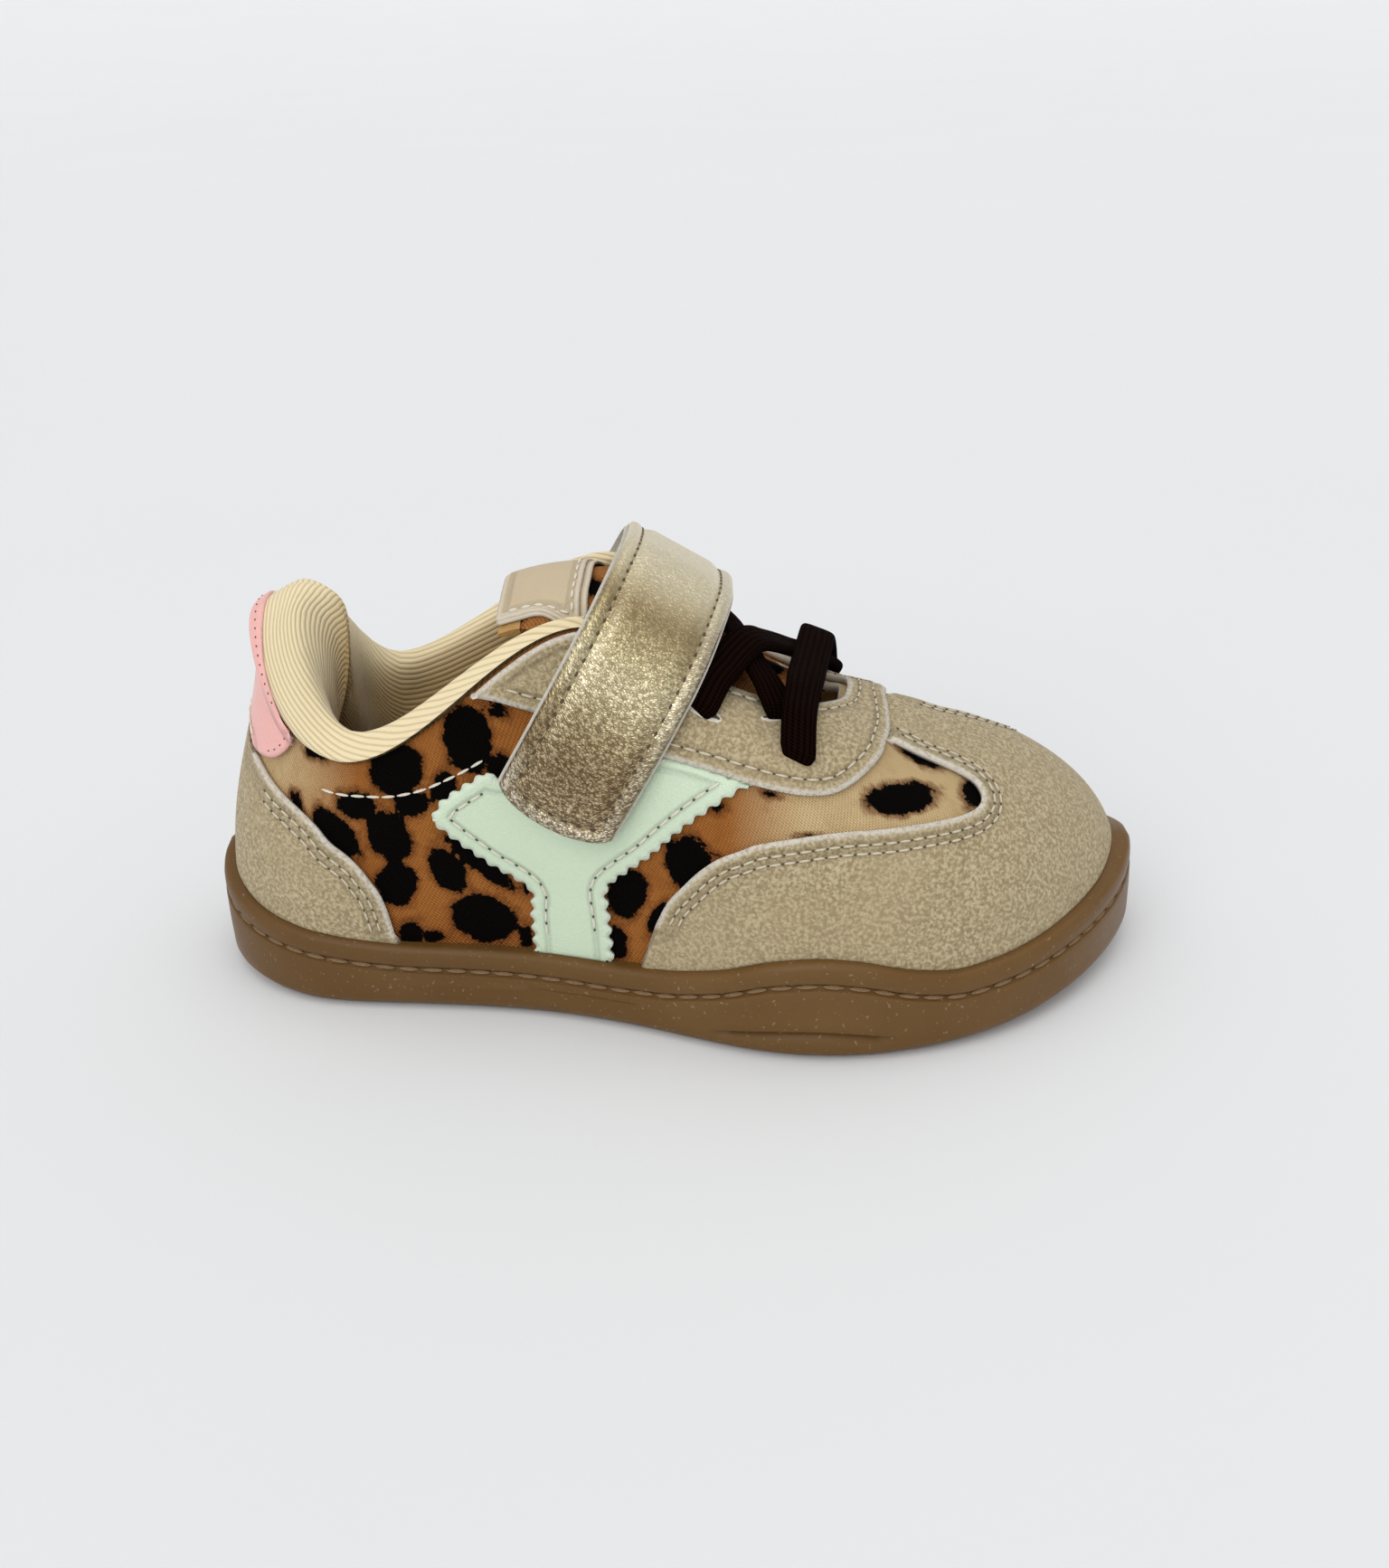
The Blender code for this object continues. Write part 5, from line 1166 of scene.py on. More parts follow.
def toe_depth(way, up):
    """The toe piece is pared thin where it goes in under the eyestay."""
    order = np.argsort(eyestay_low[:, 0])
    edge_up = np.interp(way, eyestay_low[order, 0], eyestay_low[order, 1])
    under = np.clip((up - edge_up + 0.016) / 0.016, 0, 1)
    return CLEARANCE + OVERLAY_THICKNESS - 0.00095 * under * under * (3 - 2 * under)


overlay("suede_toe", outline, [outer_edge, inner_edge], [suede_look("toe_suede", 2.2, 3.5), raw_edge],
        "toe_overlay", depth=toe_depth)
for inset in TOE_ROWS:
    for line, turn in ((outer_edge, -1), (inner_edge, 1)):
        row = shifted_line(line, turn * inset)
        row = row[row[:, 1] > 0.20]
        sew_suede(row, CLEARANCE + OVERLAY_THICKNESS, 0.0023, 0.0018)


# Eyestay. A collar of suede round the throat, from one side of the ankle over the vamp to the other, with a
# single row of sewing and punched slots that the laces go through.
low_edge = eyestay_low
throat = np.column_stack([np.linspace(1.598, 0.402, 400), np.full(400, 0.992)])
outline = np.vstack([low_edge, throat])
overlay("suede_eyestay", outline, [low_edge, throat], [suede_look("eyestay_suede", 2.4, 90.0), raw_edge],
        "eyestay", low=EYESTAY_LOW)
row = shifted_line(low_edge, 0.0024)
sew_suede(row[np.abs(row[:, 0] - 1) < 0.58], EYESTAY_LOW + OVERLAY_THICKNESS, 0.0025, 0.0020)
row = shifted_line(even_line(throat), 0.0022)
sew_suede(row[np.abs(row[:, 0] - 1) < 0.50], EYESTAY_LOW + OVERLAY_THICKNESS, 0.0025, 0.0020)
finish_piece("suede_stitching", suede_thread, [beige_thread])
finish_piece("suede_needle_holes", suede_pricks, [suede_hole_shade])

# Long white stitches on the cloth below the collar, which hold its padding
QUARTER_ROW = [
    (.215, .855), (.240, .856), (.269, .848), (.307, .817), (.333, .798), (.359, .791), (.395, .786),
]
quarter_thread = bmesh.new()
quarter = curve_through(QUARTER_ROW)
for side in (-1, 1):
    line = quarter if side < 0 else np.column_stack([2 - quarter[:, 0], quarter[:, 1]])
    sew_on_last(quarter_thread, line, 0.0, pitch=0.0028, length=0.0025, width=0.0005)
finish_piece("quarter_stitching", quarter_thread, [pale_thread])


# Collar. A thick padded roll in ribbed cream twill, drawn over the upper's edge and down inside it, highest
# and fullest behind the heel.
PADDING_THICKNESS = 0.0052
PADDING_DEPTH = 0.0190
PADDING_CROWN = 0.0036
PADDING_WRAP = 0.0012
COLLAR_ROWS = 260
RIB_PITCH = 0.0013

# Way round, then thickness, crown and depth as shares of the three sizes above
COLLAR_ROLL = [
    (0.000, 2.60, 1.50, 1.00), (0.050, 2.55, 1.95, 1.00), (0.100, 2.45, 2.80, 1.00),
    (0.150, 2.15, 3.00, 1.00), (0.180, 1.80, 2.60, 1.00), (0.210, 1.35, 1.65, 1.00),
    (0.250, 1.04, 0.98, 1.00), (0.300, 1.00, 0.92, 1.00), (0.370, 0.96, 0.95, 0.90),
    (0.420, 0.76, 0.72, 0.55), (0.452, 0.50, 0.50, 0.30), (0.488, 0.36, 0.36, 0.20),
]

# Puckers of the roll: way round, place round the profile from 0 to 1, half way, half place, depth in metres
PUCKERS = [
    (0.120, 0.52, 0.020, 0.09, 0.0010), (0.175, 0.44, 0.016, 0.10, 0.0012),
    (-0.110, 0.50, 0.022, 0.10, 0.0012), (-0.190, 0.46, 0.018, 0.10, 0.0010),
    (0.225, 0.50, 0.016, 0.08, 0.0006), (-0.270, 0.50, 0.020, 0.10, 0.0008),
    (0.020, 0.56, 0.014, 0.12, 0.0009), (0.330, 0.55, 0.016, 0.10, 0.0005),
]


def roll_ring(way):
    """Cross-section of the collar roll: outer face, crown, inner face, and back up the wall inside."""
    seam = last_point(way, 1.0)
    ahead, behind = last_point(way + 0.01, 1.0), last_point(way - 0.01, 1.0)
    slope = abs(ahead[2] - behind[2]) / np.hypot(*(ahead - behind)[:2])
    gap = CLEARANCE * (1.5 + 1.6 * slope)
    inward = -outward(way)
    thick, crown, depth = (size * float(table_curve(COLLAR_ROLL, abs(way), 0.02, column)) for size, column in
                           ((PADDING_THICKNESS, 1), (PADDING_CROWN, 2), (PADDING_DEPTH, 3)))
    wrap = PADDING_WRAP * float(table_curve(COLLAR_ROLL, abs(way), 0.02, 3))
    profile = [(-wrap, gap), (-wrap, 0.40 * crown), (0.16 * thick, 0.80 * crown), (0.48 * thick, crown + gap),
               (0.80 * thick, 0.90 * crown), (thick, 0.35 * crown), (thick, -0.22 * depth),
               (0.88 * thick, -0.52 * depth), (UPPER_WALL + gap + 0.30 * thick, -0.88 * depth)]
    points = [seam + np.array([*(inward * out), up]) for out, up in profile]
    heights = last_point(np.full(56, way), np.linspace(0.45, 1.0, 56))[:, 2]
    for up_share in (0.88, 0.45, 0.0):
        height = float(seam[2]) - depth * up_share - (gap if up_share else 0.0)
        points.append(offset_point(way, float(np.interp(height, heights, np.linspace(0.45, 1.0, 56))),
                                   -(UPPER_WALL + gap)))
    points[-1] = points[-1] + np.array([0, 0, gap])
    return np.array(points)


def closed_curve(points, per):
    """Smooth closed curve through points, starting and ending at the first."""
    t = np.linspace(0, 1, per, endpoint=False)[:, None]
    made = [curve_span(*(points[(i + k) % len(points)] for k in (-1, 0, 1, 2)), t)
            for i in range(len(points))]
    return np.vstack(made + [points[:1]])


def tube_form(points):
    """Closed tube through rings of points whose first and last are the same, with its two ends closed."""
    bm = bmesh.new()
    grid_surface(bm, points)
    bmesh.ops.remove_doubles(bm, verts=bm.verts, dist=1e-6)
    bmesh.ops.holes_fill(bm, edges=[edge for edge in bm.edges if edge.is_boundary], sides=0)
    bmesh.ops.recalc_face_normals(bm, faces=bm.faces)
    return bm


twill, tree, shader = new_material("cream_twill_look", (0.70, 0.56, 0.33), 0.82, Sheen_Weight=0.3)
rib = kept_value(tree, "rib")
lay = kept_value(tree, "lay", "Vector")
strayed = figure(tree, "ADD", rib, figure(tree, "MULTIPLY", noise(tree, lay, 160.0), 0.35))
wave = figure(tree, "ABSOLUTE", figure(tree, "SINE", figure(tree, "MULTIPLY", strayed, math.pi)))
yarn = noise(tree, lay, 3200.0, 2.0)
# Painted shade: the rib valleys are coloured darker than their crests.
tone = blend_colours(tree, ease(tree, wave, 0.0, 0.7), (0.62, 0.50, 0.275, 1.0), (0.83, 0.70, 0.44, 1.0))
# Painted shade: the roll's inner face is darkened, as if the shade inside the shoe fell on it.
inside = kept_value(tree, "inside")
tone = tinted(tree, tone, inside, 0.9, (0.46, 0.35, 0.19, 1.0), "MULTIPLY")
tone = tinted(tree, tone, yarn, 0.25, (0.58, 0.46, 0.26, 1.0))
colour_by(tree, shader, tone)
raise_surface(tree, shader, figure(tree, "ADD", wave, figure(tree, "MULTIPLY", yarn, 0.25)), 0.00018)

roll_end = COLLAR_ROLL[-1][0]
roll_ways = np.linspace(-roll_end, roll_end, COLLAR_ROWS)
roll_rings = np.array([closed_curve(roll_ring(way), 4) for way in roll_ways])
ring_share = np.linspace(0, 1, roll_rings.shape[1])
centre_line = roll_rings[:, :-1].mean(axis=1, keepdims=True)
for at_way, at_share, half_way, half_share, deep in PUCKERS:
    hollow = deep * np.exp(-((roll_ways - at_way) / half_way) ** 2)[:, None]
    hollow = hollow * np.exp(-((ring_share - at_share) / half_share) ** 2)[None, :]
    inward = centre_line - roll_rings
    inward /= np.linalg.norm(inward, axis=-1, keepdims=True)
    roll_rings = roll_rings + inward * hollow[..., None]
along_roll = np.concatenate([[0.0], np.cumsum(np.linalg.norm(np.diff(roll_rings[:, 12], axis=0), axis=1))])
round_roll = np.concatenate([np.zeros((COLLAR_ROWS, 1)),
                             np.cumsum(np.linalg.norm(np.diff(roll_rings, axis=1), axis=2), axis=1)], axis=1)
tilt = np.radians(np.interp(roll_ways, [-0.45, -0.20, -0.10, 0.10, 0.21, 0.30, 0.45],
                            [8, 4, 0, 0, 20, 30, 30]))
climb = np.concatenate([[0.0], np.cumsum(np.diff(along_roll) * np.sin(tilt[1:]))])
rib_phase = (round_roll * np.cos(tilt)[:, None] * 1.25 + climb[:, None]) / RIB_PITCH
roll_lay = np.stack([along_roll[:, None] + 0 * round_roll, round_roll, 0 * round_roll], axis=-1)
roll_bm = tube_form(roll_rings)
on_roll = finder(roll_rings.reshape(-1, 3))
found = np.array([on_roll.find(vertex.co)[1] for vertex in roll_bm.verts])
collar = finish_piece("collar_roll", roll_bm, [twill], ["collar_padding"])
keep_values(collar, "rib", rib_phase.reshape(-1)[found])
keep_values(collar, "lay", roll_lay.reshape(-1, 3)[found])
# Share of painted shade on the roll, rising over its inner face.
inner_face_shade = np.clip((ring_share - 0.34) / 0.14, 0, 1)[None, :] + 0 * round_roll
keep_values(collar, "inside", inner_face_shade.reshape(-1)[found])

# Upper part of the pink heel tab, drawn over the back of the roll
TAB_TOP_WAY = 0.172
TAB_TOP_REACH = 0.135


def edge_distance(bm):
    """Distance of each vertex from the piece's own edge, in millimetres."""
    edges = [edge for edge in bm.edges if edge.is_boundary]
    line = np.array([edge.verts[0].co.lerp(edge.verts[1].co, k / 3) for edge in edges for k in range(3)])
    return distance_from([vertex.co for vertex in bm.verts], [line])


cover = []
cover_out = []
for i in np.flatnonzero(np.abs(roll_ways) < TAB_TOP_WAY):
    reach = TAB_TOP_REACH * (1 - (abs(roll_ways[i]) / TAB_TOP_WAY) ** 2.2)
    shares = np.linspace(0.0, max(reach, 0.004), 10)
    line = np.column_stack([np.interp(shares, ring_share, roll_rings[i, :, k]) for k in range(3)])
    away = line - centre_line[i]
    away /= np.linalg.norm(away, axis=1, keepdims=True)
    line = line + away * np.linspace(0.0013, 0.0006, 10)[:, None]
    cover.append(np.vstack([line[:1] - away[:1] * 0.0002 - [[0, 0, 0.0026]], line]))
    cover_out.append(np.vstack([away[:1], away]))
cover, cover_out = np.array(cover), np.array(cover_out)
bm = bmesh.new()
grid_surface(bm, cover)
face_towards(bm, Vector((-1, 0, 0)))
apart = edge_distance(bm)
tab_top_piece = finish_piece("heel_tab_top", bm, [pink, pink_edge])
keep_values(tab_top_piece, "edge", np.maximum(apart, 3.0))
thicken(tab_top_piece, 0.0006)
# Dark pricks along the tab's top: painted shade that stands for needle holes.
tab_top_pricks = bmesh.new()
sew(tab_top_pricks, cover[6:-6, -3], cover_out[6:-6, -3], 0.0017, 0.0004, 0.0003, sunk=0.4)
finish_piece("heel_tab_top_pricks", tab_top_pricks, [painted_hole_shade])


# Tongue. A soft padded tongue in the same leopard cloth, bound with an ochre edge, with a plain tan leather
# label sewn on its free end. It lies under the throat and rises behind the strap.
TONGUE_THICKNESS = 0.0046
LABEL_LENGTH = 0.0150
EYESTAY_START = 0.494
TONGUE_COLUMNS = (-1.0, -0.88, -0.66, -0.36, 0.0, 0.36, 0.66, 0.88, 1.0)
TONGUE_RIDGE = [
    (0.352, 1.030), (0.380, 1.055), (0.440, 1.072), (0.490, 1.068), (0.515, 1.050), (0.535, 1.005),
    (0.561, 0.930), (0.582, 0.870), (0.604, 0.830), (0.640, 0.785), (0.664, 0.740),
]
TONGUE_SHIFT = 0.0015
TONGUE_HALF = [
    (0.352, 0.38), (0.450, 0.40), (0.490, 0.44), (0.535, 0.53), (0.580, 0.59), (0.630, 0.56),
    (0.664, 0.43),
]


def ridge_height(along):
    return INSTEP_HEIGHT * table_curve(TONGUE_RIDGE, np.asarray(along) / SOLE_LENGTH)


def throat_way(along, side):
    """Way round of the rib whose top end lies at a place along the throat."""
    ways = np.linspace(0.36, 0.99, 127)
    tops = last_point(ways if side < 0 else 2 - ways, 1.0)[:, 0]
    way = float(np.interp(along, np.maximum.accumulate(tops), ways))
    return way if side < 0 else 2 - way


def tongue_profile(along, ceiling):
    """Points of the tongue's upper face at a place along, from the outer edge over to the inner one."""
    corner = float(last_point(EYESTAY_START, 1.0)[0])
    front = float(last_point(1.0, 1.0)[0])
    held = min(max(along, corner), front - 0.0020)
    outer = last_point(throat_way(held, -1), 1.0)
    inner = last_point(throat_way(held, 1), 1.0)
    centre = 0.5 * (outer[1] + inner[1]) - TONGUE_SHIFT
    half_throat = max(0.5 * (inner[1] - outer[1]), 0.35 * THROAT_WIDTH)
    drop = float(ridge_height(held)) - 0.5 * (outer[2] + inner[2]) + UPPER_WALL + 2 * CLEARANCE
    half = THROAT_WIDTH * float(table_curve(TONGUE_HALF, along / SOLE_LENGTH))
    points = []
    for share in TONGUE_COLUMNS:
        y = centre + half * share
        z = float(ridge_height(along)) - max(drop, 0.0) * abs(half * share / half_throat) ** 1.4
        near = np.hypot(ceiling[:, 0] - along, ceiling[:, 1] - y) < 0.0026
        if near.any():
            z = min(z, float(ceiling[near, 2].min()))
        points.append((along, y, z))
    return np.array(points)


def face_normals(grid):
    normal = np.cross(np.gradient(grid, axis=0), np.gradient(grid, axis=1))
    return normal / np.linalg.norm(normal, axis=-1, keepdims=True)


def refined(grid, per):
    """Grid with a smooth curve run through it both ways."""
    once = curve_through(grid.reshape(len(grid), -1), per).reshape(-1, *grid.shape[1:])
    turned_grid = once.transpose(1, 0, 2)
    twice = curve_through(turned_grid.reshape(len(turned_grid), -1), per).reshape(-1, *turned_grid.shape[1:])
    return twice.transpose(1, 0, 2)


under_ways, under_ups = np.meshgrid(np.linspace(0.46, 1.54, 150), np.linspace(0.55, 1.0, 34), indexing="ij")
ceiling = offset_point(under_ways, under_ups, -UPPER_WALL - 3 * CLEARANCE).reshape(-1, 3)
stations = np.linspace(TONGUE_RIDGE[0][0] * SOLE_LENGTH, float(last_point(1.0, 1.0)[0]) - 0.0035, 15)
tongue_top = np.array([tongue_profile(along, ceiling) for along in stations])
share_down = (stations - stations[0]) / (stations[-1] - stations[0])
edge_thin = 1.0 - 0.62 * np.abs(np.array(TONGUE_COLUMNS)) ** 4
pad_depth = (TONGUE_THICKNESS * (1.0 - 0.52 * share_down))[:, None] * edge_thin[None, :]
pad_depth[0] *= 0.45
fine_top = refined(tongue_top, 6)
fine_depth = refined(pad_depth[..., None] * np.ones(3), 6)[..., 0]
fine_normal = face_normals(fine_top)
fine_under = fine_top - fine_normal * fine_depth[..., None]
crowned = np.concatenate([fine_top, fine_under[:, ::-1]], axis=1)
crowned = np.concatenate([crowned, crowned[:, :1]], axis=1)
bm = tube_form(crowned)
tongue_look = leopard.copy()
tongue_look.name = "tongue_cloth_look"
ochre = flecked("ochre_binding", (0.34, 0.18, 0.05), (0.52, 0.32, 0.11), 1800.0, 0.85, bump=0.0002)
for face in bm.faces:
    if face.calc_center_median().x < stations[0] + 0.0035:
        face.material_index = 1
tongue_points = np.array([vertex.co for vertex in bm.verts])
tongue = finish_piece("padded_tongue", bm, [tongue_look, ochre], ["tongue"])
tongue_spots = [
    (62, 17, 4.0, 3.0, 20), (72, 12, 3.0, 2.0, -30), (74, 24, 3.5, 2.5, 60), (84, 16, 4.2, 2.8, 10),
    (92, 24, 3.0, 2.2, -40), (94, 10, 2.8, 2.0, 30), (101, 17, 3.2, 2.4, 70), (66, 27, 2.6, 1.8, 0),
    (60, 7, 2.4, 1.8, 45), (108, 22, 2.2, 1.6, 0), (82, 30, 2.6, 1.9, -60), (83, 3, 2.4, 1.9, 25),
]
tongue_x, tongue_y = tongue_points[:, 0] * 1000, tongue_points[:, 1] * 1000 + 17
keep_values(tongue, "spot", spot_distance(tongue_x, tongue_y, tongue_spots))
keep_values(tongue, "warm", np.full(len(tongue_points), 0.9))
keep_values(tongue, "lay", tongue_points[:, :3] * [1, 1, 0])


def round_edge(bm, width, fall):
    """Narrow sloping band all round an open skin, so that its edge catches the light."""
    bmesh.ops.inset_region(bm, faces=bm.faces, thickness=width, use_boundary=True, use_even_offset=False)
    bm.normal_update()
    edge_verts = {vertex for edge in bm.edges if edge.is_boundary for vertex in edge.verts}
    moved = [(vertex, vertex.co - vertex.normal * fall) for vertex in edge_verts]
    for vertex, place in moved:
        vertex.co = place


tan = smooth_leather("tan_label_look", (0.56, 0.46, 0.31), (0.47, 0.37, 0.23), 1.6, 1500.0, 0.5)
label_rows = stations <= stations[0] + LABEL_LENGTH
label_grid = refined(tongue_top[label_rows][:, 1:-1], 6)
label_normal = face_normals(label_grid)
for index, (rise, shrink) in enumerate(((0.00025, 0), (0.00065, 1))):
    part = label_grid[:len(label_grid) - 2 * shrink, shrink:label_grid.shape[1] - shrink]
    lift = label_normal[:len(label_grid) - 2 * shrink, shrink:label_grid.shape[1] - shrink]
    bm = bmesh.new()
    grid_surface(bm, part + lift * (CLEARANCE + rise + 0.0005))
    round_edge(bm, 0.0004, 0.0002)
    apart = edge_distance(bm)
    nodes = ["tongue_label"] if index == 1 else ()
    label = finish_piece(f"tongue_label_layer_{index + 1}", bm, [tan, raw_edge], nodes)
    keep_values(label, "edge", apart)
    thicken(label, 0.0006)
bm = bmesh.new()
top_layer = label_grid + label_normal * (CLEARANCE + 0.00115)
for line in (3, label_grid.shape[1] - 4):
    sew(bm, top_layer[3:-4, line], label_normal[3:-4, line], 0.0022, 0.0016, 0.0005)
sew(bm, top_layer[-5, 3:-3], label_normal[-5, 3:-3], 0.0022, 0.0016, 0.0005)
finish_piece("label_stitching", bm, [pale_thread])


# Laces. Flat brown elastic, sewn in place: two bands that cross over the tongue and one bar in front of
# them, each going down through punched slots in the eyestay.
LACE_WIDTH = 0.0063
LACE_THICKNESS = 0.0020
LACES = [
    (0.655, 0.930, 1.470, 0.860, 0.0000),
    (0.577, 0.845, 1.270, 0.900, 0.0014),
    (0.658, 0.800, 1.300, 0.800, -0.0003),
]

# How an end goes down through its slot: reach beyond it, drop, and share of the band's width
LACE_TUCK = [(0.0008, 0.0003, 0.94), (0.0016, 0.0011, 0.74), (0.0019, 0.0030, 0.50)]


def outer_hull(points):
    """Upper chain of a flat convex hull, from its first point to its last."""
    points = points[np.lexsort((points[:, 1], points[:, 0]))]
    chain = []
    for point in points:
        while len(chain) >= 2:
            a, b = chain[-2], chain[-1]
            if (b[0] - a[0]) * (point[1] - a[1]) - (b[1] - a[1]) * (point[0] - a[0]) < 0:
                break
            chain.pop()
        chain.append(point)
    return np.array(chain)


def resample(path, count):
    steps = np.linalg.norm(np.diff(path, axis=0), axis=1)
    run = np.concatenate([[0.0], np.cumsum(steps)])
    wanted = np.linspace(0, run[-1], count)
    return np.column_stack([np.interp(wanted, run, path[:, k]) for k in range(path.shape[1])])


def path_normals(path):
    step = np.gradient(path, axis=0)
    normal = np.column_stack([-step[:, 1], step[:, 0]])
    return normal / np.linalg.norm(normal, axis=1, keepdims=True)


def lace_rings(start, end, covered, rows=13):
    """Flat band from one lace hole to another, as sections that lean with what lies beneath them."""
    run = (end - start) * [1, 1, 0]
    span = np.linalg.norm(run)
    run = run / span
    side = np.array([run[1], -run[0], 0.0])
    offset = (covered - start) @ side / LACE_WIDTH
    reach = (covered - start) @ run
    levels = []
    for place in np.linspace(0, span, 24):
        close = np.abs(reach - place) < span / 20
        left = covered[close & (offset > -0.6) & (offset < -0.2), 2]
        right = covered[close & (offset < 0.6) & (offset > 0.2), 2]
        if len(left) and len(right):
            levels.append((place, 0.5 * (left.max() + right.max()), (right.max() - left.max()) / LACE_WIDTH))
    levels = np.array([(0.0, start[2], levels[0][2])] + levels[1:-1] + [(span, end[2], levels[-1][2])])
    path = resample(outer_hull(levels[:, :2]), rows)
    leans = np.convolve(np.pad(levels[:, 2], 3, "edge"), np.ones(7) / 7, "valid")
    lean = np.interp(path[:, 0], levels[:, 0], leans)
    half, thick = LACE_WIDTH / 2, LACE_THICKNESS
    outline = [(-half, 0.5), (-0.8 * half, 0.93), (0.0, 1.0), (0.8 * half, 0.93),
               (half, 0.5), (0.8 * half, 0.07), (0.0, 0.0), (-0.8 * half, 0.07)]
    rings = []
    for place, out, slope in zip(path, path_normals(path), lean):
        across_axis = (side + np.array([0, 0, slope])) / math.hypot(1, slope)
        outward_axis = run * out[0] + np.array([0, 0, out[1]])
        base = start * [1, 1, 0] + run * place[0] + np.array([0, 0, place[1]])
        rings.append(np.array([base + outward_axis * (2 * CLEARANCE + height * thick) + across_axis * across
                               for across, height in outline]))
    return np.array(rings)


elastic, tree, shader = new_material("brown_elastic_look", (0.010, 0.004, 0.003), 0.9,
                                     Specular_IOR_Level=0.015)
lay = node(tree, "ShaderNodeSeparateXYZ", {0: kept_value(tree, "lay", "Vector")}).outputs
waves = [figure(tree, "SINE", figure(tree, "MULTIPLY", way, math.pi / pitch))
         for way, pitch in ((lay[1], 0.00062), (lay[0], 0.00055))]
length_ribs, picks = (figure(tree, "ABSOLUTE", wave) for wave in waves)
woven_height = figure(tree, "ADD", length_ribs, figure(tree, "MULTIPLY", picks, 0.7))
# Painted shade: the weave is coloured darker where it is low.
tone = blend_colours(tree, ease(tree, woven_height, 0.3, 1.5), (0.0010, 0.0005, 0.0004, 1.0),
                     (0.0090, 0.0030, 0.0018, 1.0))
colour_by(tree, shader, tone)
raise_surface(tree, shader, woven_height, 0.00022)

skin_ways = np.concatenate([np.linspace(0.34, 0.80, 70), 2 - np.linspace(0.34, 0.80, 70)])
skin_way_grid, skin_up_grid = np.meshgrid(skin_ways, np.linspace(0.40, 1.0, 40), indexing="ij")
skin = offset_point(skin_way_grid, skin_up_grid, CLEARANCE + OVERLAY_THICKNESS).reshape(-1, 3)
tongue_cover = [tongue_top[i] * (1 - share) + tongue_top[i + 1] * share
                for i in range(len(tongue_top) - 1) for share in (0.0, 0.25, 0.5, 0.75)]
covered = np.concatenate([skin] + tongue_cover)
bands = []
slot_ends = []
for index, (near_way, near_up, far_way, far_up, pressed) in enumerate(LACES):
    beneath = np.concatenate([covered] + [band - np.array([0, 0, pressed]) for band in bands])
    start = offset_point(near_way, near_up, CLEARANCE + OVERLAY_THICKNESS)
    end = offset_point(far_way, far_up, CLEARANCE + OVERLAY_THICKNESS)
    coarse = lace_rings(start, end, beneath)
    between = [ring * (1 - share) + following * share
               for ring, following in zip(coarse, coarse[1:]) for share in (0.0, 0.25, 0.5, 0.75)]
    bands.append(np.concatenate(between + [coarse[-1]]))
    tucked = [coarse]
    for at, way, up, place in ((0, near_way, near_up, 0), (-1, far_way, far_up, len(coarse))):
        down = last_slopes(way, up)[2]
        beyond = coarse[at].mean(axis=0) - coarse[1 if at == 0 else -2].mean(axis=0)
        beyond = beyond / np.linalg.norm(beyond)
        for reach, drop, width in LACE_TUCK:
            middle = coarse[at].mean(axis=0)
            extra = middle + (coarse[at] - middle) * width + beyond * reach - down * drop
            tucked.insert(0 if at == 0 else len(tucked), extra[None])
        slot_ends.append((way, up, down, np.cross(down, beyond), beyond))
    smooth = curve_through(np.concatenate(tucked).reshape(len(coarse) + 6, -1), 5).reshape(-1, 8, 3)
    rings = np.array([closed_curve(ring, 5) for ring in smooth])
    bm = tube_form(rings)
    run = np.concatenate([[0.0], np.cumsum(np.linalg.norm(np.diff(rings.mean(axis=1), axis=0), axis=1))])
    across = np.abs(np.linspace(-1, 1, rings.shape[1])) * LACE_WIDTH
    on_lace = finder(rings.reshape(-1, 3))
    found = np.array([on_lace.find(vertex.co)[1] for vertex in bm.verts])
    nodes = (["lace_crossing"], (), ["lace_bar"])[index]
    lace = finish_piece(f"lace_band_{index + 1}", bm, [elastic], nodes)
    keep_values(lace, "lay", np.column_stack([run[found // rings.shape[1]], across[found % rings.shape[1]],
                                              0 * run[found // rings.shape[1]]]))

# Punched slots: a dark cut of painted shade with a pale pressed rim under each lace end
for name, material, across, along, high in (("slot_rims", raw_edge, 0.0037, 0.00125, 0.00022),
                                            ("slot_cut_shades", suede_hole_shade, 0.0034, 0.00075, 0.00030)):
    bm = bmesh.new()
    for way, up, face, side, beyond in slot_ends:
        side = side - face * (side @ face)
        side = side / np.linalg.norm(side)
        forward_axis = np.cross(side, face)
        shape = Matrix((side * across, forward_axis * along, face * high)).transposed().to_4x4()
        centre = draped(way, up, EYESTAY_LOW + OVERLAY_THICKNESS) + beyond * 0.0012
        bmesh.ops.create_uvsphere(bm, u_segments=20, v_segments=8, radius=1.0,
                                  matrix=Matrix.Translation(centre) @ shape)
    finish_piece(name, bm, [material])


# Closing strap. Crumpled metallic gold leather, sewn down on the inner side, drawn over the tongue and closed
# on the mint panel; its border is folded into a bead and sewn, and the end is round.
STRAP_WIDTH = 0.0200
STRAP_THICKNESS = 0.0020
STRAP_SLANT = math.radians(30.5)
STRAP_ROWS = 33
BEAD_PLACE = 0.0012
SEAM_PLACE = 0.0026

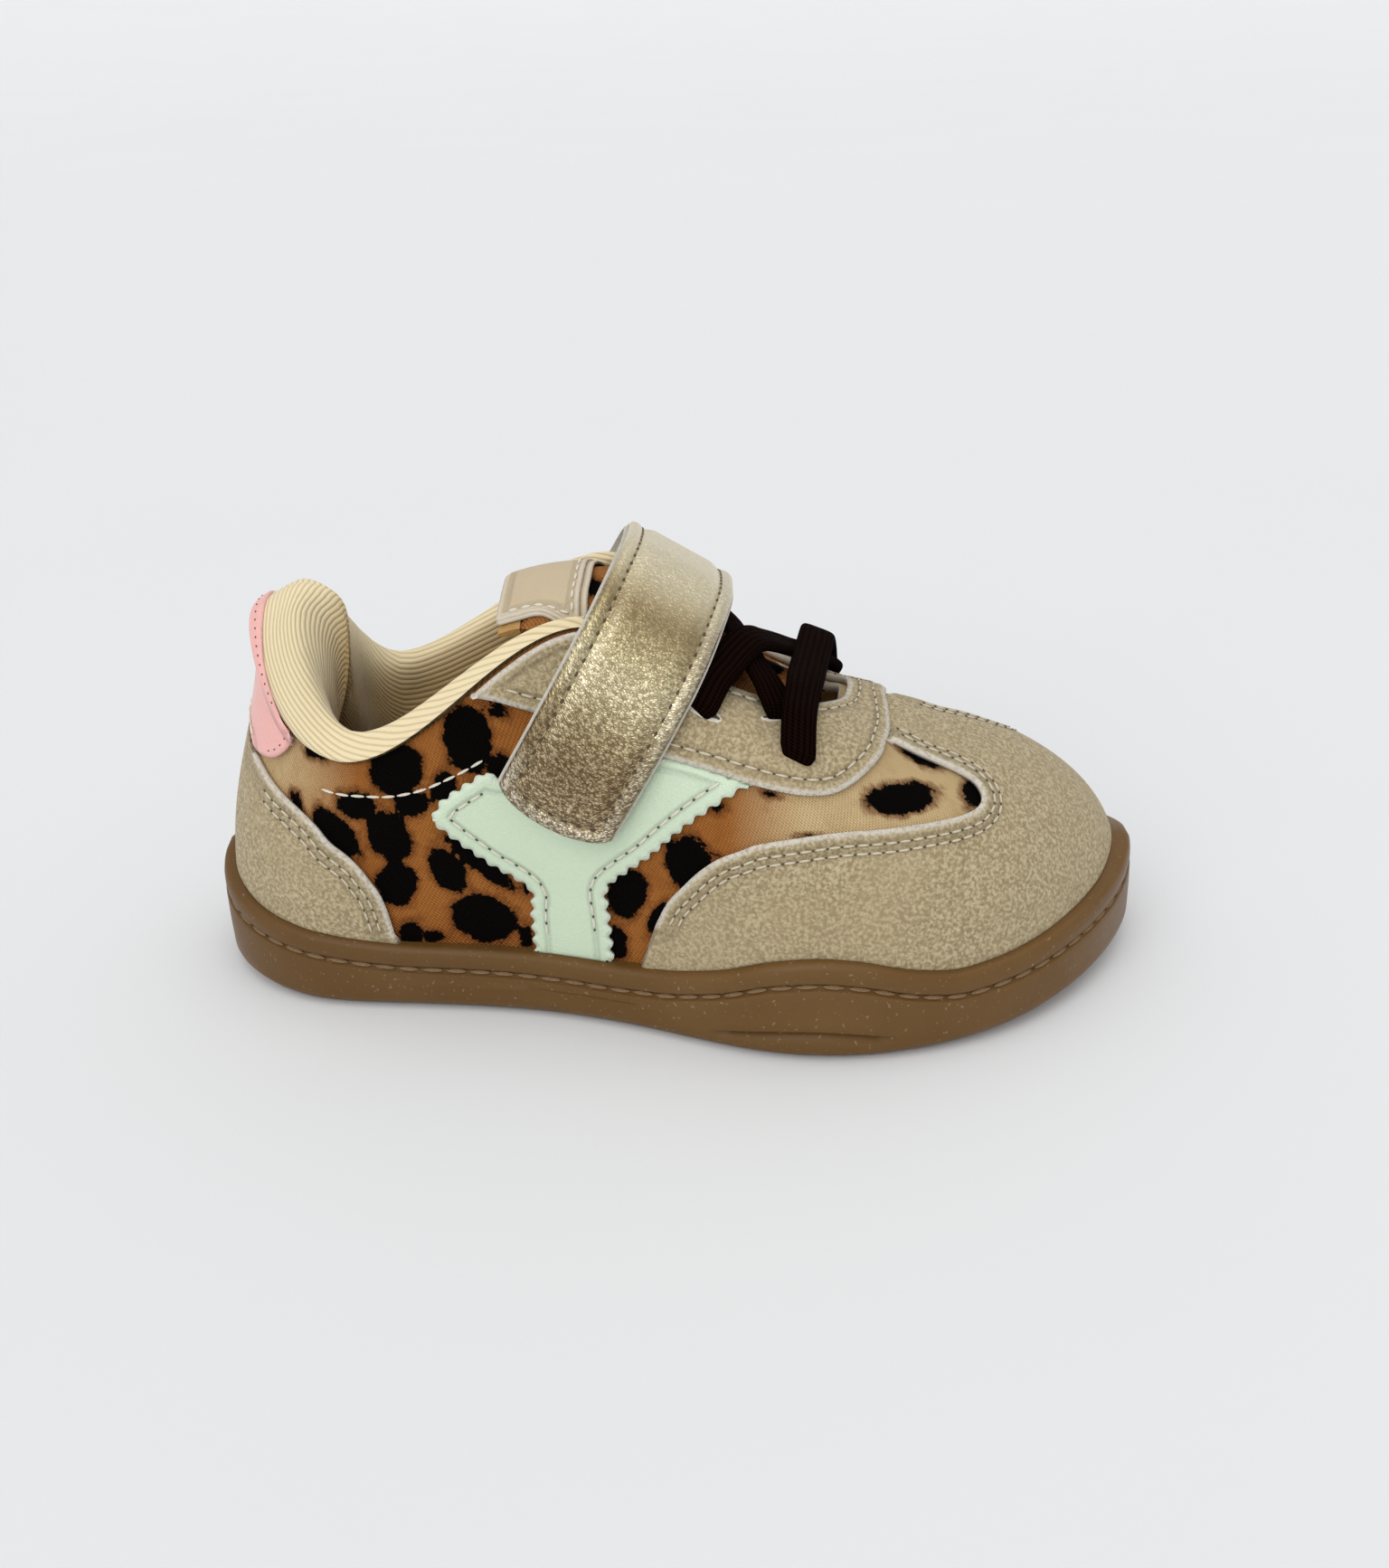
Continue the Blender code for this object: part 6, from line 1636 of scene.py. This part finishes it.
# Tone of the gold along the strap, with painted highlights and painted shade in its bright and dark bands, from
# its round end (0) to the top of the instep (1) and beyond
GOLD_PAINTED_LIGHT = [
    (0.00, 0.84, 0.72, 0.49), (0.10, 0.58, 0.46, 0.28), (0.20, 0.46, 0.35, 0.20),
    (0.34, 0.64, 0.53, 0.31), (0.48, 0.98, 0.90, 0.60), (0.60, 0.70, 0.60, 0.34),
    (0.70, 0.44, 0.33, 0.165), (0.80, 0.72, 0.61, 0.38), (0.90, 0.87, 0.78, 0.55),
    (1.10, 0.87, 0.78, 0.56), (1.60, 0.72, 0.62, 0.38),
]

width_axis = np.array([math.cos(STRAP_SLANT), 0.0, -math.sin(STRAP_SLANT)])
rise_axis = np.array([math.sin(STRAP_SLANT), 0.0, math.cos(STRAP_SLANT)])
anchor = np.array([0.532 * SOLE_LENGTH, 0.0, INSTEP_HEIGHT * 1.10])
strap_covered = np.concatenate([covered] + [band.reshape(-1, 3) for band in bands])
under = strap_covered[np.abs(strap_covered @ width_axis - anchor @ width_axis) < STRAP_WIDTH / 2 + 0.0005]
path = outer_hull(np.column_stack([under[:, 1], under @ rise_axis]))
low_outer = last_point(0.43, 0.52) @ rise_axis
low_inner = last_point(2 - 0.50, 0.66) @ rise_axis
hull = path[int(np.argmin(path[:, 0])):int(np.argmax(path[:, 0])) + 1]
hull = np.vstack([[hull[0][0], low_outer], hull[hull[:, 1] > low_outer + 0.002]])
hull = hull[(hull[:, 0] < 0) | (hull[:, 1] > low_inner)]
strap_path = resample(hull, STRAP_ROWS)
strap_path[1:-1] = (strap_path[:-2] + 2 * strap_path[1:-1] + strap_path[2:]) / 4
strap_over = strap_path + path_normals(strap_path) * (4 * CLEARANCE + STRAP_THICKNESS)
strap_over = curve_through(strap_over, 5)
strap_run = np.concatenate([[0.0], np.cumsum(np.linalg.norm(np.diff(strap_over, axis=0), axis=1))])
half = STRAP_WIDTH / 2
strap_columns = np.sin(np.linspace(-1, 1, 45) * math.pi / 2)
strap_grid = np.zeros((len(strap_over), len(strap_columns), 3))
for j, column in enumerate(strap_columns):
    round_end = 0.45 * half * (1 - math.sqrt(max(0.0, 1 - (0.97 * column) ** 2)))
    shifted = np.maximum(strap_run, round_end + strap_run * (1 - round_end / strap_run[-1]))
    height = np.interp(shifted, strap_run, strap_over[:, 1])
    strap_grid[:, j] = width_axis * (anchor @ width_axis + column * half) + rise_axis * height[:, None]
    strap_grid[:, j, 1] = np.interp(shifted, strap_run, strap_over[:, 0])
bm = bmesh.new()
grid_surface(bm, strap_grid)
face_towards(bm, Vector((0, 0, 1)))
apart = np.array(edge_distance(bm)) / 1000
bm.normal_update()
bm.verts.ensure_lookup_table()
swell = np.clip((apart - SEAM_PLACE) / 0.0022, 0, 1)
bead = (0.00022 * np.exp(-((apart - BEAD_PLACE) / 0.0007) ** 2)
        - 0.00032 * np.exp(-((apart - SEAM_PLACE) / 0.0004) ** 2))
bead = bead + 0.00050 * swell * swell * (3 - 2 * swell) - 0.0006 * np.clip(1 - apart / 0.0004, 0, 1)
wrinkled = np.array([field.noise(vertex.co * 750.0) + 0.5 * field.noise(vertex.co * 1600.0)
                     for vertex in bm.verts])
crumpled = np.exp(-((apart - BEAD_PLACE) / 0.0009) ** 2)
apex = float(strap_run[int(np.argmax(strap_over[:, 1]))])
on_strap = finder(strap_grid.reshape(-1, 3))
strap_found = np.array([on_strap.find(vertex.co)[1] for vertex in bm.verts])
strap_way = strap_run[strap_found // len(strap_columns)]
strap_across = strap_columns[strap_found % len(strap_columns)] * half
near_end = np.clip(1 - (strap_way - 0.003) / 0.006, 0, 1)
bead = bead + crumpled * (0.00010 + 0.00028 * near_end) * (0.6 + wrinkled)
move_verts(bm, [vertex.co + vertex.normal * float(rise) for vertex, rise in zip(bm.verts, bead)])

gold, tree, shader = new_material("gold_leather_look", (0.48, 0.39, 0.21), 0.30, Metallic=0.82)
lay = kept_value(tree, "lay", "Vector")
fold = noise(tree, lay, 0.9, 2.0, 0.5)
crumple = node(tree, "ShaderNodeTexVoronoi", {"Vector": lay, "Scale": 1.5}, feature="DISTANCE_TO_EDGE")
crumple = ease(tree, crumple.outputs["Distance"], 0.0, 0.32)
creased = figure(tree, "ADD", figure(tree, "MULTIPLY", crumple, 0.3), fold)
# Gold colour kept on the strap, with painted highlights and painted shade in it.
tone = kept_value(tree, "tone", "Vector")
# Painted shade: the colour is darkened in the creases of the crumple.
off_crease = ease(tree, creased, 0.45, 0.90)
deep = figure(tree, "MULTIPLY", figure(tree, "SUBTRACT", 1.0, off_crease), kept_value(tree, "crease_shade"))
tone = blend_colours(tree, deep, tone, (0.20, 0.15, 0.10, 1.0), "MULTIPLY")
colour_by(tree, shader, tone)
tree.links.new(ease(tree, creased, 0.4, 1.1, 0.36, 0.22), shader.inputs["Roughness"])
raise_surface(tree, shader, creased, 0.00020, 0.8)
strap_side = flecked("strap_layers", (0.44, 0.40, 0.34), (0.72, 0.69, 0.62), 1500.0, 0.8, 3.0)
strap = finish_piece("gold_strap", bm, [gold, strap_side], ["strap"])
# Gold colour along the strap, with its painted highlights and shade.
gold_with_painted_light = np.column_stack([table_curve(GOLD_PAINTED_LIGHT, strap_way / apex, 0.03, column) for column in (1, 2, 3)])
# Painted highlight: a bright streak along the middle of the strap, near its heel-side border.
middle_share = np.clip(1 - np.abs(strap_way / apex - 0.45) / 0.35, 0, 1)
painted_highlight_streak = np.exp(-((strap_across + half - 0.0038) / 0.0008) ** 2) * middle_share
border_share = np.clip(1 - (apart - 0.0021) / 0.0004, 0, 1)
gold_with_painted_light = gold_with_painted_light + (np.array([0.92, 0.84, 0.60]) - gold_with_painted_light) * 0.75 * painted_highlight_streak[:, None]
bright_end = border_share * np.clip(1 - (strap_way - 0.004) / 0.006, 0, 1)
gold_with_painted_light = gold_with_painted_light + (np.array([0.82, 0.76, 0.60]) - gold_with_painted_light) * 0.8 * bright_end[:, None]
toe_border = border_share * (strap_across > 0) * np.clip(strap_way / 0.004, 0, 1)
gold_with_painted_light = gold_with_painted_light + (np.array([0.74, 0.68, 0.52]) - gold_with_painted_light) * 0.6 * (toe_border * (1 - bright_end))[:, None]
keep_values(strap, "tone", gold_with_painted_light)
# Strength of the painted crease shade along the strap, strongest towards the round end.
crease_shade_share = np.interp(strap_way / apex, [0.0, 0.3, 0.6, 0.82, 1.1], [0.95, 0.9, 0.7, 0.3, 0.2])
keep_values(strap, "crease_shade", crease_shade_share)
keep_values(strap, "lay", np.column_stack([strap_way * 1900.0, strap_across * 1050.0, 0 * strap_way]))
thicken(strap, 0.0010, 1, 1)

strap_normal = face_normals(strap_grid)
if strap_normal[..., 2].mean() < 0:
    strap_normal = -strap_normal
bm = bmesh.new()
wider = width_axis * (strap_columns * 0.0004)[None, :, None]
grid_surface(bm, (strap_grid - strap_normal * 0.0012 + wider)[:-1])
face_towards(bm, Vector((0, 0, 1)))
lined = finish_piece("strap_lining", bm, [strap_side])
thicken(lined, STRAP_THICKNESS - 0.0013, 0, 0)
seam_column = int(np.argmin(np.abs(strap_columns + 0.74)))
seam_row = int(np.argmin(np.abs(strap_run - 0.0027)))
border = []
for j in (seam_column, len(strap_columns) - 1 - seam_column):
    border.append((strap_grid[seam_row:-2, j], strap_normal[seam_row:-2, j]))
across_end = slice(seam_column, -seam_column)
border.append((strap_grid[seam_row, across_end], strap_normal[seam_row, across_end]))
bm = bmesh.new()
# Dark pricks beside the strap's stitches: painted shade that stands for needle holes.
strap_pricks = bmesh.new()
for points, normals in border:
    sew(bm, points, normals, 0.0024, 0.0015, 0.0004, sunk=0.95)
    sew(strap_pricks, points, normals, 0.0024, 0.0009, 0.0005, sunk=0.85, start=1.0)
finish_piece("strap_needle_holes", strap_pricks, [suede_hole_shade])
gold_thread = flecked("ochre_thread", (0.20, 0.15, 0.07), (0.48, 0.40, 0.24), 4200.0, 0.7)
finish_piece("strap_stitching", bm, [gold_thread])

# Row of sewing on the mint panel below the strap's end, which holds the hook patch under it
HOOK_ROW = [
    (.532, .640), (.500, .570), (.477, .520), (.455, .470), (.440, .452), (.430, .462), (.418, .528),
    (.405, .60),
]
bm = bmesh.new()
sew_on_last(bm, curve_through(HOOK_ROW), CLEARANCE + PANEL_THICKNESS, pitch=0.0026, length=0.0019)
finish_piece("hook_patch_stitching", bm, [pale_thread])
